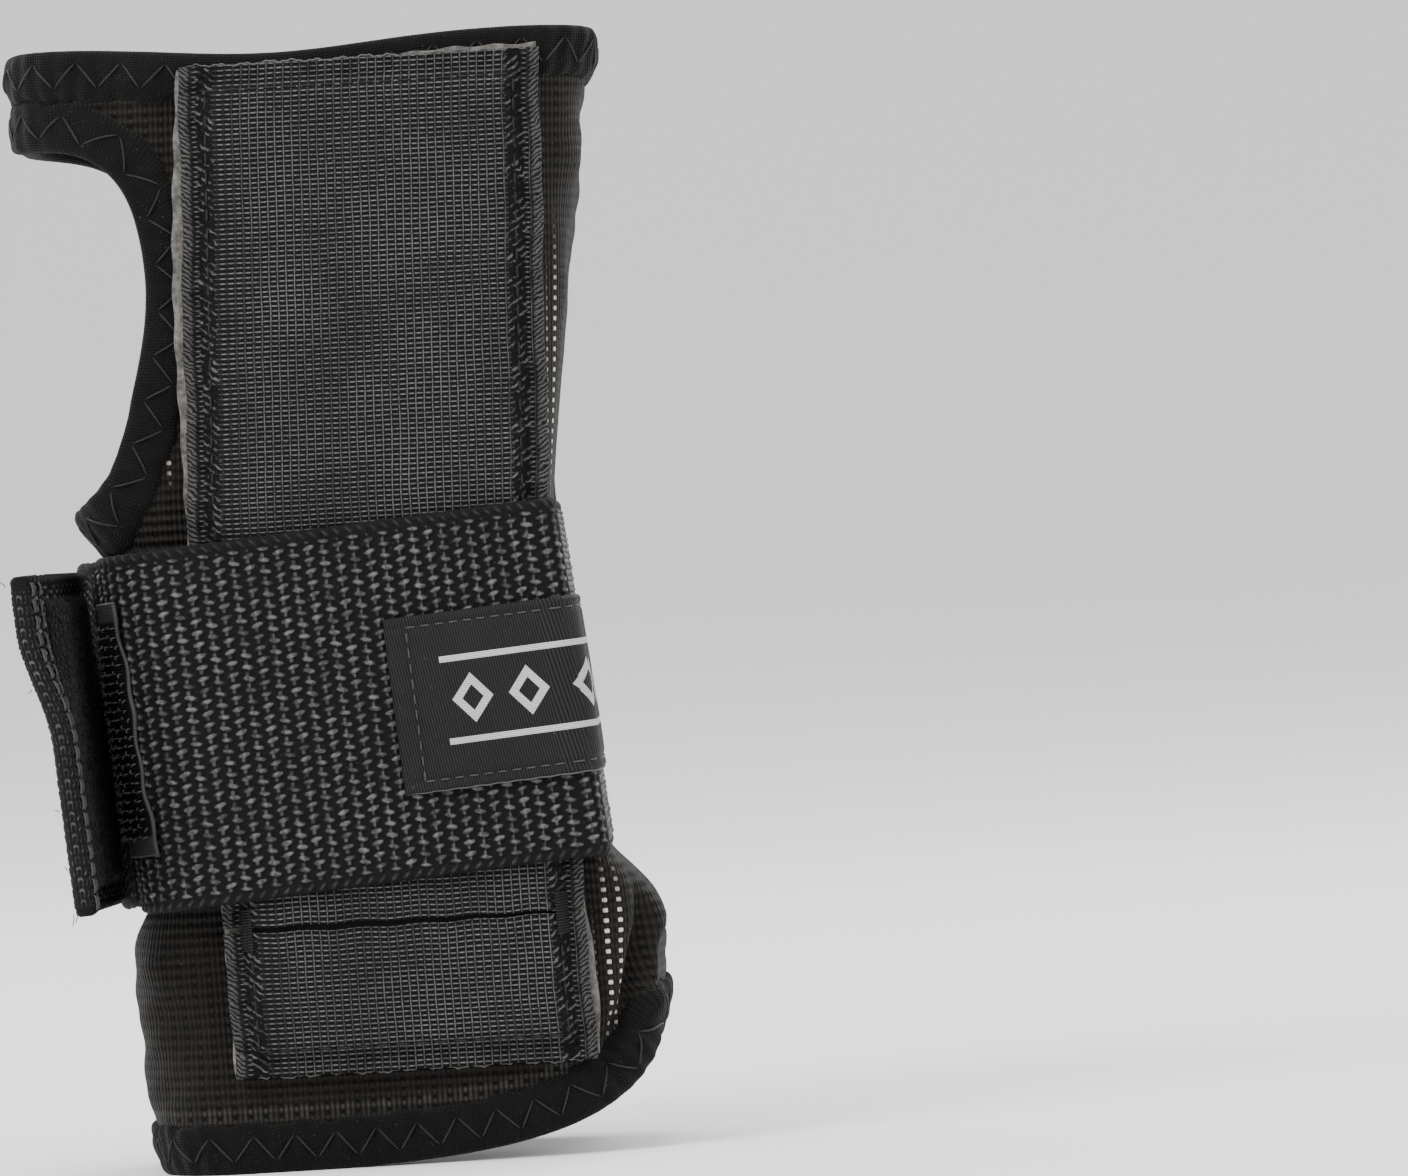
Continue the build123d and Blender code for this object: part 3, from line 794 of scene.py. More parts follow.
def pocket_webbing(name, side, low, high):
    """One length of pocket webbing as a fine woven face with its four edges turned under."""
    across, drop_x = turned_under(-pocket_half, pocket_half, column_pitch / 4)
    z, drop_z = turned_under(low, high, row_pitch / 3)
    x, z = np.meshgrid(across, z)
    near_slit = bell(z, (slit_low + slit_high) / 2, 4.0)
    drop = np.maximum(drop_x[None, :], drop_z[:, None]) * (1 - 0.4 * near_slit)
    x_in, z_in = np.clip(x, -pocket_half, pocket_half), np.clip(z, low, high)
    out = pocket_height(x_in, z_in) - drop + 0.11 * weave_rows(x, z) * (drop == 0)
    sag = 0.25 * (1 - np.clip(x / 21, -1, 1) ** 2)
    closing = np.where(z < slit_high - 0.3, 0.15 + 0.4 * rise(x, -24, 24) - sag, 0.15 * sag - 0.15)
    z_bent = z + near_slit * (closing + 0.1 * np.sin(0.8 * x))
    wander = 0.16 * np.sin(0.21 * z + side) + 0.1 * np.sin(0.57 * z + 2 * side)
    points = layer_at(side, x + wander * (np.abs(x) / pocket_half) ** 3, z_bent, out)
    return grid_object(name, points, np.stack([x, z], -1), flip=side > 0)


def pocket_backing(name, side):
    """The felt under a pocket: a soft-edged sheet that shows beyond the webbing in places."""
    rows, columns = np.linspace(0, 1, 160)[:, None], np.linspace(-1, 1, 60)[None, :]
    z_mid = pocket_low + 0.5 + (pocket_high - pocket_low - 0.6) * rows
    left = -pocket_half - 0.25 - 1.35 * bell(z_mid, 122, 26) - 0.12 * np.sin(0.9 * z_mid)
    right = pocket_half - 0.25 + 1.2 * bell(z_mid, 22, 12) + 0.1 * np.sin(0.7 * z_mid)
    across = np.where(columns < 0, -left * columns, right * columns)
    top = 0.9 * rise(across, -2.0, 14.0) * rows ** 12
    z = z_mid + top + 0.15 * np.sin(1.1 * across) * rows ** 12
    edge = np.minimum(np.minimum(1 - np.abs(columns), rows), 1 - rows)
    plump = 0.25 * rise(edge, 0.0, 0.02) - 0.25
    nap = 0.05 * np.sin(5.1 * across + 3.3 * z) * np.sin(2.7 * across - 4.1 * z)
    outer = layer_at(side, across, z, backing_outer + plump + nap)
    inner = layer_at(side, across, z, backing_inner - plump)
    uv = np.stack(np.broadcast_arrays(across, z), -1)
    if side > 0:
        outer, inner, uv = outer[:, ::-1], inner[:, ::-1], uv[:, ::-1]
    return sheet_object(name, outer, inner, uv)


def stitch_row(start, end, length, gap, surface, lift, radius, dip=0.28):
    """A row of straight stitches between two flat points: each rises from the cloth and dips back in."""
    start, end = np.asarray(start, float), np.asarray(end, float)
    whole = np.linalg.norm(end - start)
    count = max(1, round(whole / (length + gap)))
    share = np.linspace(0, 1, 7)
    t = (np.arange(count)[:, None] + share * length / (length + gap)) / count
    p, q = (start + (end - start) * t[..., None]).transpose(2, 0, 1)
    return *surface(p, q, lift - dip * np.abs(2 * share - 1) ** 3), radius


def pocket_seams(side):
    """The two long rows and the two end rows that sew a pocket down."""
    def surface(across, z, lift):
        point = layer_at(side, across, z, pocket_height(across, z) + lift)
        return point, np.broadcast_to((0.0, side, 0.0), point.shape)

    x, low, high = pocket_half - seam_inset, pocket_low + seam_inset, pocket_high - seam_inset
    rows = [((-x, low), (-x, high)), ((x, low), (x, high)), ((-x, low), (x, low)), ((-x, high), (x, high))]
    return [stitch_row(a, b, 2.0, 0.55, surface, 0.22, 0.19) for a, b in rows]


def edge_yarn(side, height, lift):
    """The frayed selvage yarn along a pocket's top or bottom edge: one thin, wandering thread."""
    across = np.linspace(-pocket_half + 0.5, pocket_half - 0.5, 240)
    wander = 0.14 * np.sin(1.9 * across) + 0.1 * np.sin(0.53 * across + 1) + 0.07 * np.sin(5.3 * across)
    point = layer_at(side, across, height + wander, seam_out + lift)[None]
    return point, np.broadcast_to((0.0, side, 0.0), point.shape), 0.13


def bar_tacks(side):
    """The tacks at the slit's ends: a bar of tight threads across each end of the slit."""
    middle = (slit_low + slit_high) / 2
    share = np.linspace(-1, 1, 9)
    rows = middle + np.linspace(-2.7, 2.7, 15)[:, None] + 0.12 * share
    groups = []
    for end in (-1, 1):
        across = end * (pocket_half - 3.0) + 0.95 * share + 0 * rows
        out = pocket_height(across, rows) + 0.5 - 0.45 * share ** 4
        point = layer_at(side, across, rows, out)
        groups.append((point, np.broadcast_to((0.0, side, 0.0), point.shape), 0.2))
    return groups


def make_webbing_group():
    """Plain-woven webbing seen close: painted highlights on rows of weft floats and on thin warp lines that
    come and go, none in the gaps.
    """
    tree, given, result = new_group(
        "thread_grid",
        [("Across", "Float", 0.0), ("Along", "Float", 0.0), ("Column", "Float", column_pitch),
         ("Row", "Float", row_pitch)],
        [("Yarn_highlight", "Float"), ("Float", "Float")],
    )
    place = shader_node(tree, "TexCoord").outputs["Object"]
    drift = shader_node(tree, "TexNoise", {"Vector": place, "Scale": 160.0, "Detail": 2.0}).outputs[0]
    shift = calc(tree, "MULTIPLY_ADD", drift, 0.5, -0.25)
    along = calc(tree, "ADD", given["Along"], calc(tree, "MULTIPLY", shift, 0.5))
    across = calc(tree, "ADD", given["Across"], calc(tree, "MULTIPLY", shift, 0.7))

    def lines(value, pitch):
        turn_ = calc(tree, "DIVIDE", calc(tree, "MULTIPLY", value, 2 * math.pi), pitch)
        return calc(tree, "MULTIPLY_ADD", calc(tree, "COSINE", turn_), 0.5, 0.5)

    row = ramp(tree, lines(along, given["Row"]), 0.62, 0.97)
    warp = lines(across, given["Column"])
    float_ = calc(tree, "MULTIPLY", row, ramp(tree, warp, 0.92, 0.25, 0.25, 1.0))
    patch = shader_node(tree, "TexNoise", {"Vector": place, "Scale": 75.0, "Detail": 3.0}).outputs[0]
    patchy = ramp(tree, patch, 0.4, 0.6, 0.4, 1.0)
    shown = calc(tree, "MULTIPLY", patchy, ramp(tree, across, -19.0, -13.0, 0.1, 1.0))
    thin = calc(tree, "MULTIPLY", ramp(tree, warp, 0.9, 0.995), shown)
    fibre = shader_node(tree, "TexNoise", {"Vector": place, "Scale": 2300.0, "Detail": 2.0}).outputs[0]
    broken = ramp(tree, fibre, 0.3, 0.62, 0.45, 1.0)
    # This mask marks where the painted highlights go: on the floats and on the thin warp lines.
    yarn = calc(tree, "MULTIPLY", calc(tree, "MAXIMUM", float_, calc(tree, "MULTIPLY", thin, 0.8)), broken)
    tree.links.new(yarn, result["Yarn_highlight"])
    tree.links.new(calc(tree, "MAXIMUM", row, thin), result["Float"])
    return tree


thread_grid = make_webbing_group()


def make_webbing_material():
    """Black pocket webbing: a painted highlight of pale grey where its floats catch the light, and painted
    shade, near black, in the gaps.
    """
    material, tree, shader = cloth_material("pocket_webbing_cloth", sheen=0.0, roughness=0.5, specular=0.15)
    u, v = thread_uv(tree)
    given = {"Across": u, "Along": v, "Column": column_pitch, "Row": row_pitch}
    weave = use_group(tree, thread_grid, given)
    place = shader_node(tree, "TexCoord").outputs["Object"]
    crush = shader_node(tree, "TexNoise", {"Vector": place, "Scale": 700.0, "Detail": 3.0}).outputs[0]
    from_side = calc(tree, "SUBTRACT", pocket_half, calc(tree, "ABSOLUTE", u))
    swerve = calc(tree, "MULTIPLY", crush, 1.6)
    slant = calc(tree, "ADD", v, calc(tree, "MULTIPLY_ADD", from_side, 0.7, swerve))
    slanted = ramp(tree, wave(tree, slant, 1.1), 0.55, 1.0)
    tangle = calc(tree, "MULTIPLY", slanted, ramp(tree, crush, 0.44, 0.62))
    tangle = calc(tree, "MULTIPLY", tangle, 0.7)
    drawn_in = ramp(tree, calc(tree, "ABSOLUTE", calc(tree, "SUBTRACT", from_side, 3.4)), 1.6, 0.9)
    woven = blend_colour(tree, drawn_in, weave["Yarn_highlight"], tangle)
    selvage = calc(tree, "MULTIPLY", ramp(tree, from_side, 1.5, 0.9, 0.0, 0.55), wave(tree, slant, 0.68))
    yarn = blend_colour(tree, ramp(tree, from_side, 1.7, 1.3), woven, selvage)
    # Painted light and shade: pale grey highlights on the floats, the selvage and the tangle by the stitches,
    # and near black shade in the gaps.
    colour = blend_colour(tree, yarn, grey(0.0015), grey(0.105, 0.01))
    roughness = ramp(tree, yarn, 0.0, 1.0, 0.85, 0.42)
    finish_cloth(tree, shader, colour, weave["Float"], 0.12, 0.35, 0.5, roughness)
    return material


def make_felt_material():
    """Grey needled felt: short fibres in every direction, soft and matt."""
    material, tree, shader = cloth_material("grey_felt_cloth", sheen=0.05, roughness=0.95, specular=0.05)
    place = shader_node(tree, "TexCoord").outputs["Object"]
    fibre = shader_node(tree, "TexNoise", {"Vector": place, "Scale": 1500.0, "Detail": 4.0}).outputs[0]
    clump = shader_node(tree, "TexNoise", {"Vector": place, "Scale": 300.0, "Detail": 2.0}).outputs[0]
    mixed = calc(tree, "MULTIPLY_ADD", clump, 0.5, calc(tree, "MULTIPLY", fibre, 0.5))
    colour = blend_colour(tree, ramp(tree, mixed, 0.35, 0.65), grey(0.05, 0.07), grey(0.15, 0.07))
    finish_cloth(tree, shader, colour, mixed, 0.2, 0.3, 0.4)
    return material


def make_splint_material():
    """Moulded polypropylene: black, with a fine spark-eroded grain and faint scuffs along the slide."""
    material, tree, shader = cloth_material("splint_polypropylene", sheen=0.0, roughness=0.45, specular=0.15)
    place = shader_node(tree, "TexCoord").outputs["Object"]
    grain = shader_node(tree, "TexNoise", {"Vector": place, "Scale": 1800.0, "Detail": 2.0}).outputs[0]
    long = shader_node(tree, "Mapping", {"Vector": place, "Scale": (1500.0, 200.0, 40.0)}).outputs[0]
    scuff = shader_node(tree, "TexNoise", {"Vector": long, "Scale": 1.0}).outputs[0]
    colour = blend_colour(tree, ramp(tree, scuff, 0.55, 0.75), grey(0.003), grey(0.008))
    finish_cloth(tree, shader, colour, grain, 0.03, 0.2, 0.1, ramp(tree, scuff, 0.4, 0.7, 0.38, 0.6))
    return material


webbing, felt, splint_plastic = make_webbing_material(), make_felt_material(), make_splint_material()
black_thread = make_thread_material("black_thread", 0.012)
pale_yarn = make_thread_material("pale_yarn", 0.1, 0.04)
for label, side in (("back", -1), ("palm", 1)):
    backing = pocket_backing(label + "_pocket_felt", side)
    backing.data.materials.append(felt)
    upper = pocket_webbing(label + "_pocket_upper_cloth", side, slit_high, pocket_high)
    lower = pocket_webbing(label + "_pocket_lower_cloth", side, pocket_low, slit_low)
    seams = threads_object(label + "_pocket_seams", pocket_seams(side))
    tacks = threads_object(label + "_pocket_tacks", bar_tacks(side))
    edges = [edge_yarn(side, pocket_high + 0.1, 0.0), edge_yarn(side, pocket_low - 0.1, -0.4)]
    yarns = threads_object(label + "_pocket_edge_yarns", edges)
    finishes = {
        backing: (felt, "grey_felt", label + "_pocket_backing"),
        upper: (webbing, "pocket_webbing", label + "_pocket_upper_webbing"),
        lower: (webbing, "pocket_webbing", label + "_pocket_lower_webbing"),
        tacks: (black_thread, "thread", label + "_pocket_bar_tacks"),
        seams: (black_thread, "thread", None),
        yarns: (pale_yarn, "thread", None),
    }
    for piece, (material, slot, node) in finishes.items():
        if not piece.data.materials:
            piece.data.materials.append(material)
        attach(piece, "guard")
        if node:
            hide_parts(node)
    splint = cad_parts[label + "_splint"]
    splint.data.materials.clear()
    splint.data.materials.append(splint_plastic)

# ---- wrist strap ----
# One length of heavy basket-woven webbing, tilted a little on the wrist. It is sewn to the sleeve at the
# thumb side, goes over the back of the hand and round across the palm, and its loose end is the tab.
tilt = math.radians(4.3)
strap_middle, strap_half, strap_thick = 63.3, 24.5, 1.6
thumb_u, ulnar_u, face_y = -38.0, 25.4, 27.6
thumb_arc, ulnar_arc = 12.12, 3.8
tab_u, hinge_y, hinge_open, fold_turn = -42.7, 13.5, math.radians(4.0), math.radians(5.0)
tab_reach, flap_length = 35.95, 13.93
weave_column, weave_row = 2.05, 1.57
strap_step, strap_rise = weave_column / 6, weave_row / 8
end_round = 1.5
# How much shorter the strap's upper edge is than its lower one where it rounds the little finger side.
lean_in = 1.2

fold_spot = (tab_u - tab_reach * math.sin(hinge_open), hinge_y - tab_reach * math.cos(hinge_open))
flap_turn = hinge_open + fold_turn
tab_tip = (fold_spot[0] - flap_length * math.sin(flap_turn), fold_spot[1] - flap_length * math.cos(flap_turn))


def rounded_path(corners, radii):
    """A flat line of straight runs joined by tangent arcs, with its points a small step apart."""
    corners = np.asarray(corners, float)
    line = [corners[:1]]
    for before, corner, after, radius in zip(corners, corners[1:], corners[2:], radii):
        a, b = before - corner, after - corner
        a, b = a / np.linalg.norm(a), b / np.linalg.norm(b)
        half = math.acos(np.clip(a @ b, -1, 1)) / 2
        middle = a + b
        centre = corner + middle / np.linalg.norm(middle) * radius / math.sin(half)
        spoke_a, spoke_b = (corner + d * radius / math.tan(half) - centre for d in (a, b))
        turn_ = math.pi - 2 * half
        t = np.linspace(0, 1, 33)[:, None]
        spoke = (np.sin((1 - t) * turn_) * spoke_a + np.sin(t * turn_) * spoke_b) / math.sin(turn_)
        line.append(centre + spoke)
    line.append(corners[-1:])
    return evenly(np.concatenate(line), 0.1)


strap_line = rounded_path(
    [(thumb_u, 5.0), (thumb_u, -face_y), (ulnar_u, -face_y), (ulnar_u, face_y), (tab_u, face_y),
     (tab_u, hinge_y), fold_spot, tab_tip],
    [thumb_arc, ulnar_arc, ulnar_arc, thumb_arc - 1.3, 12.0, 16.0],
)
strap_run = np.r_[0, np.cumsum(np.linalg.norm(np.diff(strap_line, axis=0), axis=1))]
strap_way = np.gradient(strap_line, axis=0)
strap_way /= np.linalg.norm(strap_way, axis=1, keepdims=True)
strap_end = strap_run[-1]
# Where along the strap: the label's front end, the side seam under it, the tab's heel, its root and its fold.
run_seam = strap_run[np.argmin(np.abs(strap_line - (ulnar_u, 0.0)).sum(1))]
over_hand = (strap_run < run_seam) & (strap_line[:, 0] < ulnar_u - ulnar_arc)
run_front = np.interp(-0.4, strap_line[over_hand, 0], strap_run[over_hand])
run_heel = strap_run[np.argmin(np.abs(strap_line - (tab_u, 16.6)).sum(1))]
run_root = strap_end - flap_length - 19.0
run_fold = strap_end - flap_length


def strap_at(s, w, out):
    """A point of the strap and its normal: s along it, w up from its middle, out from mid-thickness.

    Past the fold the flap's upper half flares out and its lower half curls in."""
    s, w, out = np.broadcast_arrays(s, w, out)
    u, y = (np.interp(s, strap_run, strap_line[:, k]) for k in (0, 1))
    du, dy = (np.interp(s, strap_run, strap_way[:, k]) for k in (0, 1))
    past = np.clip((s - run_fold) / flap_length, 0, 1)
    twist = past ** 1.2 * (3.3 * rise(w, 0.0, 16.0) - 1.7)
    front = bell(s, thumb_arc + 70, 34) * (np.abs(y + face_y) < 1)
    sway = 0.16 * (1 + np.sin(0.24 * s + 0.11 * w)) + 0.10 * (1 + np.sin(0.39 * w - 0.17 * s))
    away = out + twist + front * sway
    u, y = u + dy * away, y - du * away
    u = u - lean_in * (w / strap_half + 1) / 2 * rise(u, 4.0, ulnar_u)
    point = np.stack([
        u * math.cos(tilt) - w * math.sin(tilt), y, strap_middle + u * math.sin(tilt) + w * math.cos(tilt),
    ], -1)
    normal = np.stack([dy * math.cos(tilt), -du, dy * math.sin(tilt)], -1)
    return point, normal


def scatter(i, j, seed=0.0):
    """A fixed pseudo-random number from 0 to 1 for each pair of counts."""
    value = np.sin(i * 12.9898 + j * 78.233 + seed * 37.719) * 43758.5453
    return value - np.floor(value)


def basket_weave(s, w):
    """The strap's relief from 0 to 1: staggered columns of rounded floats, each with a short tail up or down,
    and slanting floats along both selvages."""
    column = np.floor(s / weave_column)
    across = s / weave_column - column - 0.5
    odd = column % 2
    row = np.floor(w / weave_row + 0.5 * odd)
    along = w / weave_row + 0.5 * odd - row - 0.5
    plumpness = 0.8 + 0.35 * scatter(column, row)
    slant = np.where(odd, 0.25, -0.2) + 0.2 * (scatter(column, row, 1) - 0.5)
    tall = along - slant * across
    float_ = np.clip(1 - (across / 0.48) ** 2 - (tall / 0.27) ** 2, 0, 1)
    beyond = (along - np.where(odd, -0.42, 0.42) + 0.5) % 1 - 0.5
    tail = np.clip(1 - ((across + 0.08) / 0.15) ** 2 - (beyond / 0.36) ** 2, 0, 1)
    middle = np.maximum(np.sqrt(float_) * plumpness, 0.85 * np.sqrt(tail))
    edge = rise(np.abs(w), strap_half - 1.7, strap_half - 1.4)
    lean = (s / weave_column * 1.25 + 0.55 * (np.abs(w) - strap_half) / 1.2) % 1 - 0.5
    selvage = np.sqrt(np.clip(1 - (lean / 0.33) ** 2 - ((np.abs(w) - strap_half + 0.75) / 0.85) ** 2, 0, 1))
    return np.clip(middle * (1 - edge) + 0.6 * selvage * edge, 0, 1.1)


def strap_piece(name, start, end, taper=None, thicken=None, both_faces=False):
    """A length of the strap: its outer face carries the weave in relief, and its selvages are rounded."""
    blunt = 0.0 if thicken is None else end_round
    s = np.arange(start, end - blunt, strap_step)
    s = np.r_[s, end - blunt * (1 - np.sin(np.linspace(0, math.pi / 2, 9)))] if blunt else np.r_[s, end]
    s = s[None, :]
    w = np.linspace(-strap_half, strap_half, int(2 * strap_half / strap_rise))[:, None]
    relief = basket_weave(s, w)
    if blunt:
        round_ = np.arcsin(np.clip(1 - (end - s) / blunt, 0, 1))
        small_weave = 0.8 * basket_weave(2.3 * (s + blunt * round_), w + 0.4)
        relief = np.where(s > end - blunt - 0.3, small_weave, relief)
    rounded = 1 - np.clip((np.abs(w) - strap_half + 0.8) / 0.8, 0, 0.96) ** 2
    half = strap_thick / 2 * np.sqrt(rounded)
    narrow = 1.0 if taper is None else taper(s)
    at_selvage = rise(np.abs(w), strap_half - 2, strap_half) * np.sign(w)
    frayed = 0.07 * np.sin(2 * math.pi * s / weave_column) * at_selvage
    extra = 0.0 if thicken is None else thicken(s)
    inner_relief = 0.3 * basket_weave(s + weave_column, -w) if both_faces else 0.0
    close = np.sqrt(1 - np.clip((s - end + blunt) / (blunt or 1.0), 0, 0.999) ** 2)
    middle = -extra / 2
    outer, _ = strap_at(s, w * narrow + frayed, middle + (half - 0.3 + 0.42 * relief - middle) * close)
    inside = -half + 0.1 - extra - inner_relief * rounded
    inner, _ = strap_at(s, w * narrow + frayed, middle + (inside - middle) * close)
    s_all, w_all = np.broadcast_arrays(s, w)
    made = sheet_object(name, outer, inner, np.stack([s_all, w_all], -1), relief=relief)
    smooth = np.ones(len(made.data.polygons), bool)
    smooth[-2 * (s.size + w.size - 2):] = False
    made.data.polygons.foreach_set("use_smooth", smooth)
    return made


def make_strap_material():
    """Heavy black polypropylene webbing: shiny, faintly striped floats with a painted highlight on their
    tops, over gaps painted near black as painted shade.
    """
    material, tree, shader = cloth_material("strap_webbing_cloth", sheen=0.0, roughness=0.4, specular=0.2)
    _, v = thread_uv(tree)
    relief = shader_node(tree, "Attribute", attribute_name="relief").outputs["Fac"]
    place = shader_node(tree, "TexCoord").outputs["Object"]
    jitter = shader_node(tree, "TexNoise", {"Vector": place, "Scale": 1400.0, "Detail": 2.0}).outputs[0]
    filament = wave(tree, calc(tree, "MULTIPLY_ADD", jitter, 0.25, v), 0.17)
    # Painted highlight: each float is painted lighter the higher it stands, and the gaps near black as
    # painted shade.
    lit = calc(tree, "MULTIPLY", ramp(tree, relief, 0.35, 1.05), ramp(tree, jitter, 0.35, 0.65, 0.35, 1.0))
    striped = calc(tree, "MULTIPLY", lit, calc(tree, "MULTIPLY_ADD", filament, 0.35, 0.65))
    colour = blend_colour(tree, striped, grey(0.0012), grey(0.14, 0.01))
    roughness = ramp(tree, lit, 0.0, 1.0, 0.8, 0.36)
    finish_cloth(tree, shader, colour, filament, 0.05, 0.3, 0.4, roughness)
    return material


strap_cloth = make_strap_material()
strap_pieces = []
for name, start, end in (("wrist_strap_front", 0.0, run_seam), ("wrist_strap_palm", run_seam, run_heel)):
    middle = (start + end) / 2
    strap_pieces += [strap_piece(name, start, middle), strap_piece(name + "_far", middle, end)]
for piece in strap_pieces:
    piece.data.materials.append(strap_cloth)
    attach(piece, "guard")
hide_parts("wrist_strap")

anchor_rows = []
for run in (1.0, 2.0):
    share = np.linspace(0, 1, 7)
    w = -20 + 40 * (np.arange(16)[:, None] + 0.85 * share) / 16
    spot, out_way = strap_at(run + 0 * w, w, strap_thick / 2 + 0.3 - 0.35 * np.abs(2 * share - 1) ** 3)
    anchor_rows.append((spot, out_way, 0.22))
anchor = threads_object("strap_anchor_threads", anchor_rows)
anchor.data.materials.append(black_thread)
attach(anchor, "guard")
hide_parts("strap_anchor_stitches")

# ---- hook patch ----
# Hook tape sewn on the strap's thumb end, round part of the corner: a stiff ground tape with plain margins
# above and below, and rows of small monofilament hooks that hold the tab's loop tape.
hook_low, hook_high, hook_up = 3.0, 30.0, 0.8
hook_half, hook_margin, hook_ground = 17.5, 2.6, 0.4
hook_base = strap_thick / 2 + 0.15


def make_hook_ground():
    """The ground tape: a thin slab with slightly wavy free edges."""
    s = np.linspace(hook_low, hook_high, 60)[None, :]
    w = np.linspace(-hook_half, hook_half, 90)[:, None]
    near_end = rise(s, hook_high - 5, hook_high)
    wavy = s - 0.3 - 0.045 * w + near_end * (0.35 * np.sin(0.33 * w) + 0.2 * np.sin(0.9 * w))
    w = w + hook_up
    lift = 0.35 * near_end * (1 + np.sin(0.45 * w)) / 2
    outer, _ = strap_at(wavy, w, hook_base + hook_ground + lift)
    inner, _ = strap_at(wavy, w, hook_base + lift * 0.6)
    s_all, w_all = np.broadcast_arrays(s, w - hook_up)
    return sheet_object("hook_ground", outer, inner, np.stack([s_all, w_all], -1))


def make_hooks():
    """Rows of J-shaped hooks: a stem that leans over at its top, each turned a little differently."""
    pitch = 1.25
    s, w = np.meshgrid(np.arange(hook_low + 1, hook_high - 0.4, pitch),
                       np.arange(-hook_half + hook_margin, hook_half - hook_margin, pitch))
    i, j = np.round(s / pitch), np.round(w / pitch)
    s = (s + 0.3 * (j % 2) + 0.2 * scatter(i, j))[..., None]
    w = (w + 0.2 * scatter(i, j, 2))[..., None]
    up_, over = np.array([0.0, 0.45, 0.7, 0.78, 0.66, 0.5]), np.array([0.0, 0.02, 0.14, 0.34, 0.46, 0.42])
    size = (0.85 + 0.3 * scatter(i, j, 3))[..., None]
    facing = (2 * math.pi * (0.25 * scatter(i, j, 4) + 0.5 * (i % 2)))[..., None]
    slanted = s - 0.3 - 0.045 * w
    along, across = slanted + size * over * np.cos(facing), w + hook_up + size * over * np.sin(facing)
    shape = np.broadcast_arrays(along, across, hook_base + hook_ground + size * up_)
    flat = [part.reshape(-1, len(up_)) for part in shape]
    point, normal = strap_at(*flat)
    beside = np.cross(normal, (0.0, 0.0, 1.0)) + 0.01
    return threads_object("hook_field", [(point, beside, 0.1)])


def make_hook_material():
    """Dark nylon tape with a close ground weave, a little shiny."""
    material, tree, shader = cloth_material("hook_tape_nylon", sheen=0.0, roughness=0.5, specular=0.15)
    u, v = thread_uv(tree)
    ground = calc(tree, "MULTIPLY", wave(tree, u, 0.5), wave(tree, v, 0.42))
    margin_start = hook_half - hook_margin
    margin = ramp(tree, calc(tree, "ABSOLUTE", v), margin_start - 0.4, margin_start + 0.2)
    border = ramp(tree, u, hook_high - 0.35, hook_high - 0.2)
    # Painted light and shade on the ground weave: the threads' tops are painted lighter, the gaps between
    # them darker.
    plain = blend_colour(tree, ground, grey(0.003), grey(0.01))
    with_margin = blend_colour(tree, margin, plain, grey(0.022))
    colour = blend_colour(tree, border, with_margin, grey(0.035))
    finish_cloth(tree, shader, colour, ground, 0.06, 0.3, 0.4)
    return material


hook_ground_tape, hook_field = make_hook_ground(), make_hooks()
hook_ground_tape.data.materials.append(make_hook_material())
# The hooks are painted a lighter grey than the dark tape, a painted highlight standing in for their glints.
hook_field.data.materials.append(make_thread_material("hook_monofilament", 0.06))
for piece in (hook_ground_tape, hook_field):
    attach(piece, "guard")
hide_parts("hook_patch")

# ---- side label ----
# A woven twill label folded round the strap's little finger corner and sewn down near its edges.
# It carries a plain woven pattern of two stripes and three diamonds.
label_low, label_high = -13.0, 11.0
label_thick = 0.55
run_label_end = run_seam + 4.0
label_base = strap_thick / 2 + 0.32


def label_at(s, w, lift):
    """A point over the label: it is drawn in along its stitches and bulges a little between them."""
    from_edge = np.minimum(w - label_low, label_high - w)
    from_end = s - run_front
    groove = np.maximum(bell(from_edge, 1.5, 0.45), bell(from_end, 3.0, 0.5))
    swell = 0.10 * np.sin(0.5 * s + 0.3 * w) + 0.08 * np.sin(1.7 * w) * bell(from_end, 2.0, 2.5)
    return strap_at(s, w, label_base + lift - 0.22 * groove + swell)


def make_label():
    """The label as a thin sheet with soft, folded edges."""
    s, w = np.meshgrid(np.linspace(run_front, run_label_end, 190), np.linspace(label_low, label_high, 120))
    rim = np.minimum(np.minimum(w - label_low, label_high - w), np.minimum(s - run_front, run_label_end - s))
    fold = 1 - 0.5 * (1 - rise(rim, 0, 0.5))
    outer, _ = label_at(s, w, label_thick * fold)
    inner, _ = label_at(s, w, 0.0)
    return sheet_object("side_label_cloth", outer, inner, np.stack([s - run_front, w], -1))


def label_stitches():
    """Straight stitches just inside the label's top, bottom and front edges."""
    def surface(s, w, lift):
        return label_at(s, w, label_thick + lift)

    inset, front = 1.5, run_front + 3.0
    rows = [((front, label_low + inset), (run_label_end - 1, label_low + inset)),
            ((front, label_high - inset), (run_label_end - 1, label_high - inset)),
            ((front, label_low + inset), (front, label_high - inset))]
    return [stitch_row(a, b, 1.4, 0.6, surface, 0.13, 0.13, 0.2) for a, b in rows]


def label_edge_yarn():
    """The pale yarn that shows along the label's lower edge."""
    s = np.linspace(run_front + 0.2, run_label_end, 160)
    return *[part[None] for part in label_at(s, label_low + 0.05 * np.sin(2.2 * s), 0.25)], 0.12


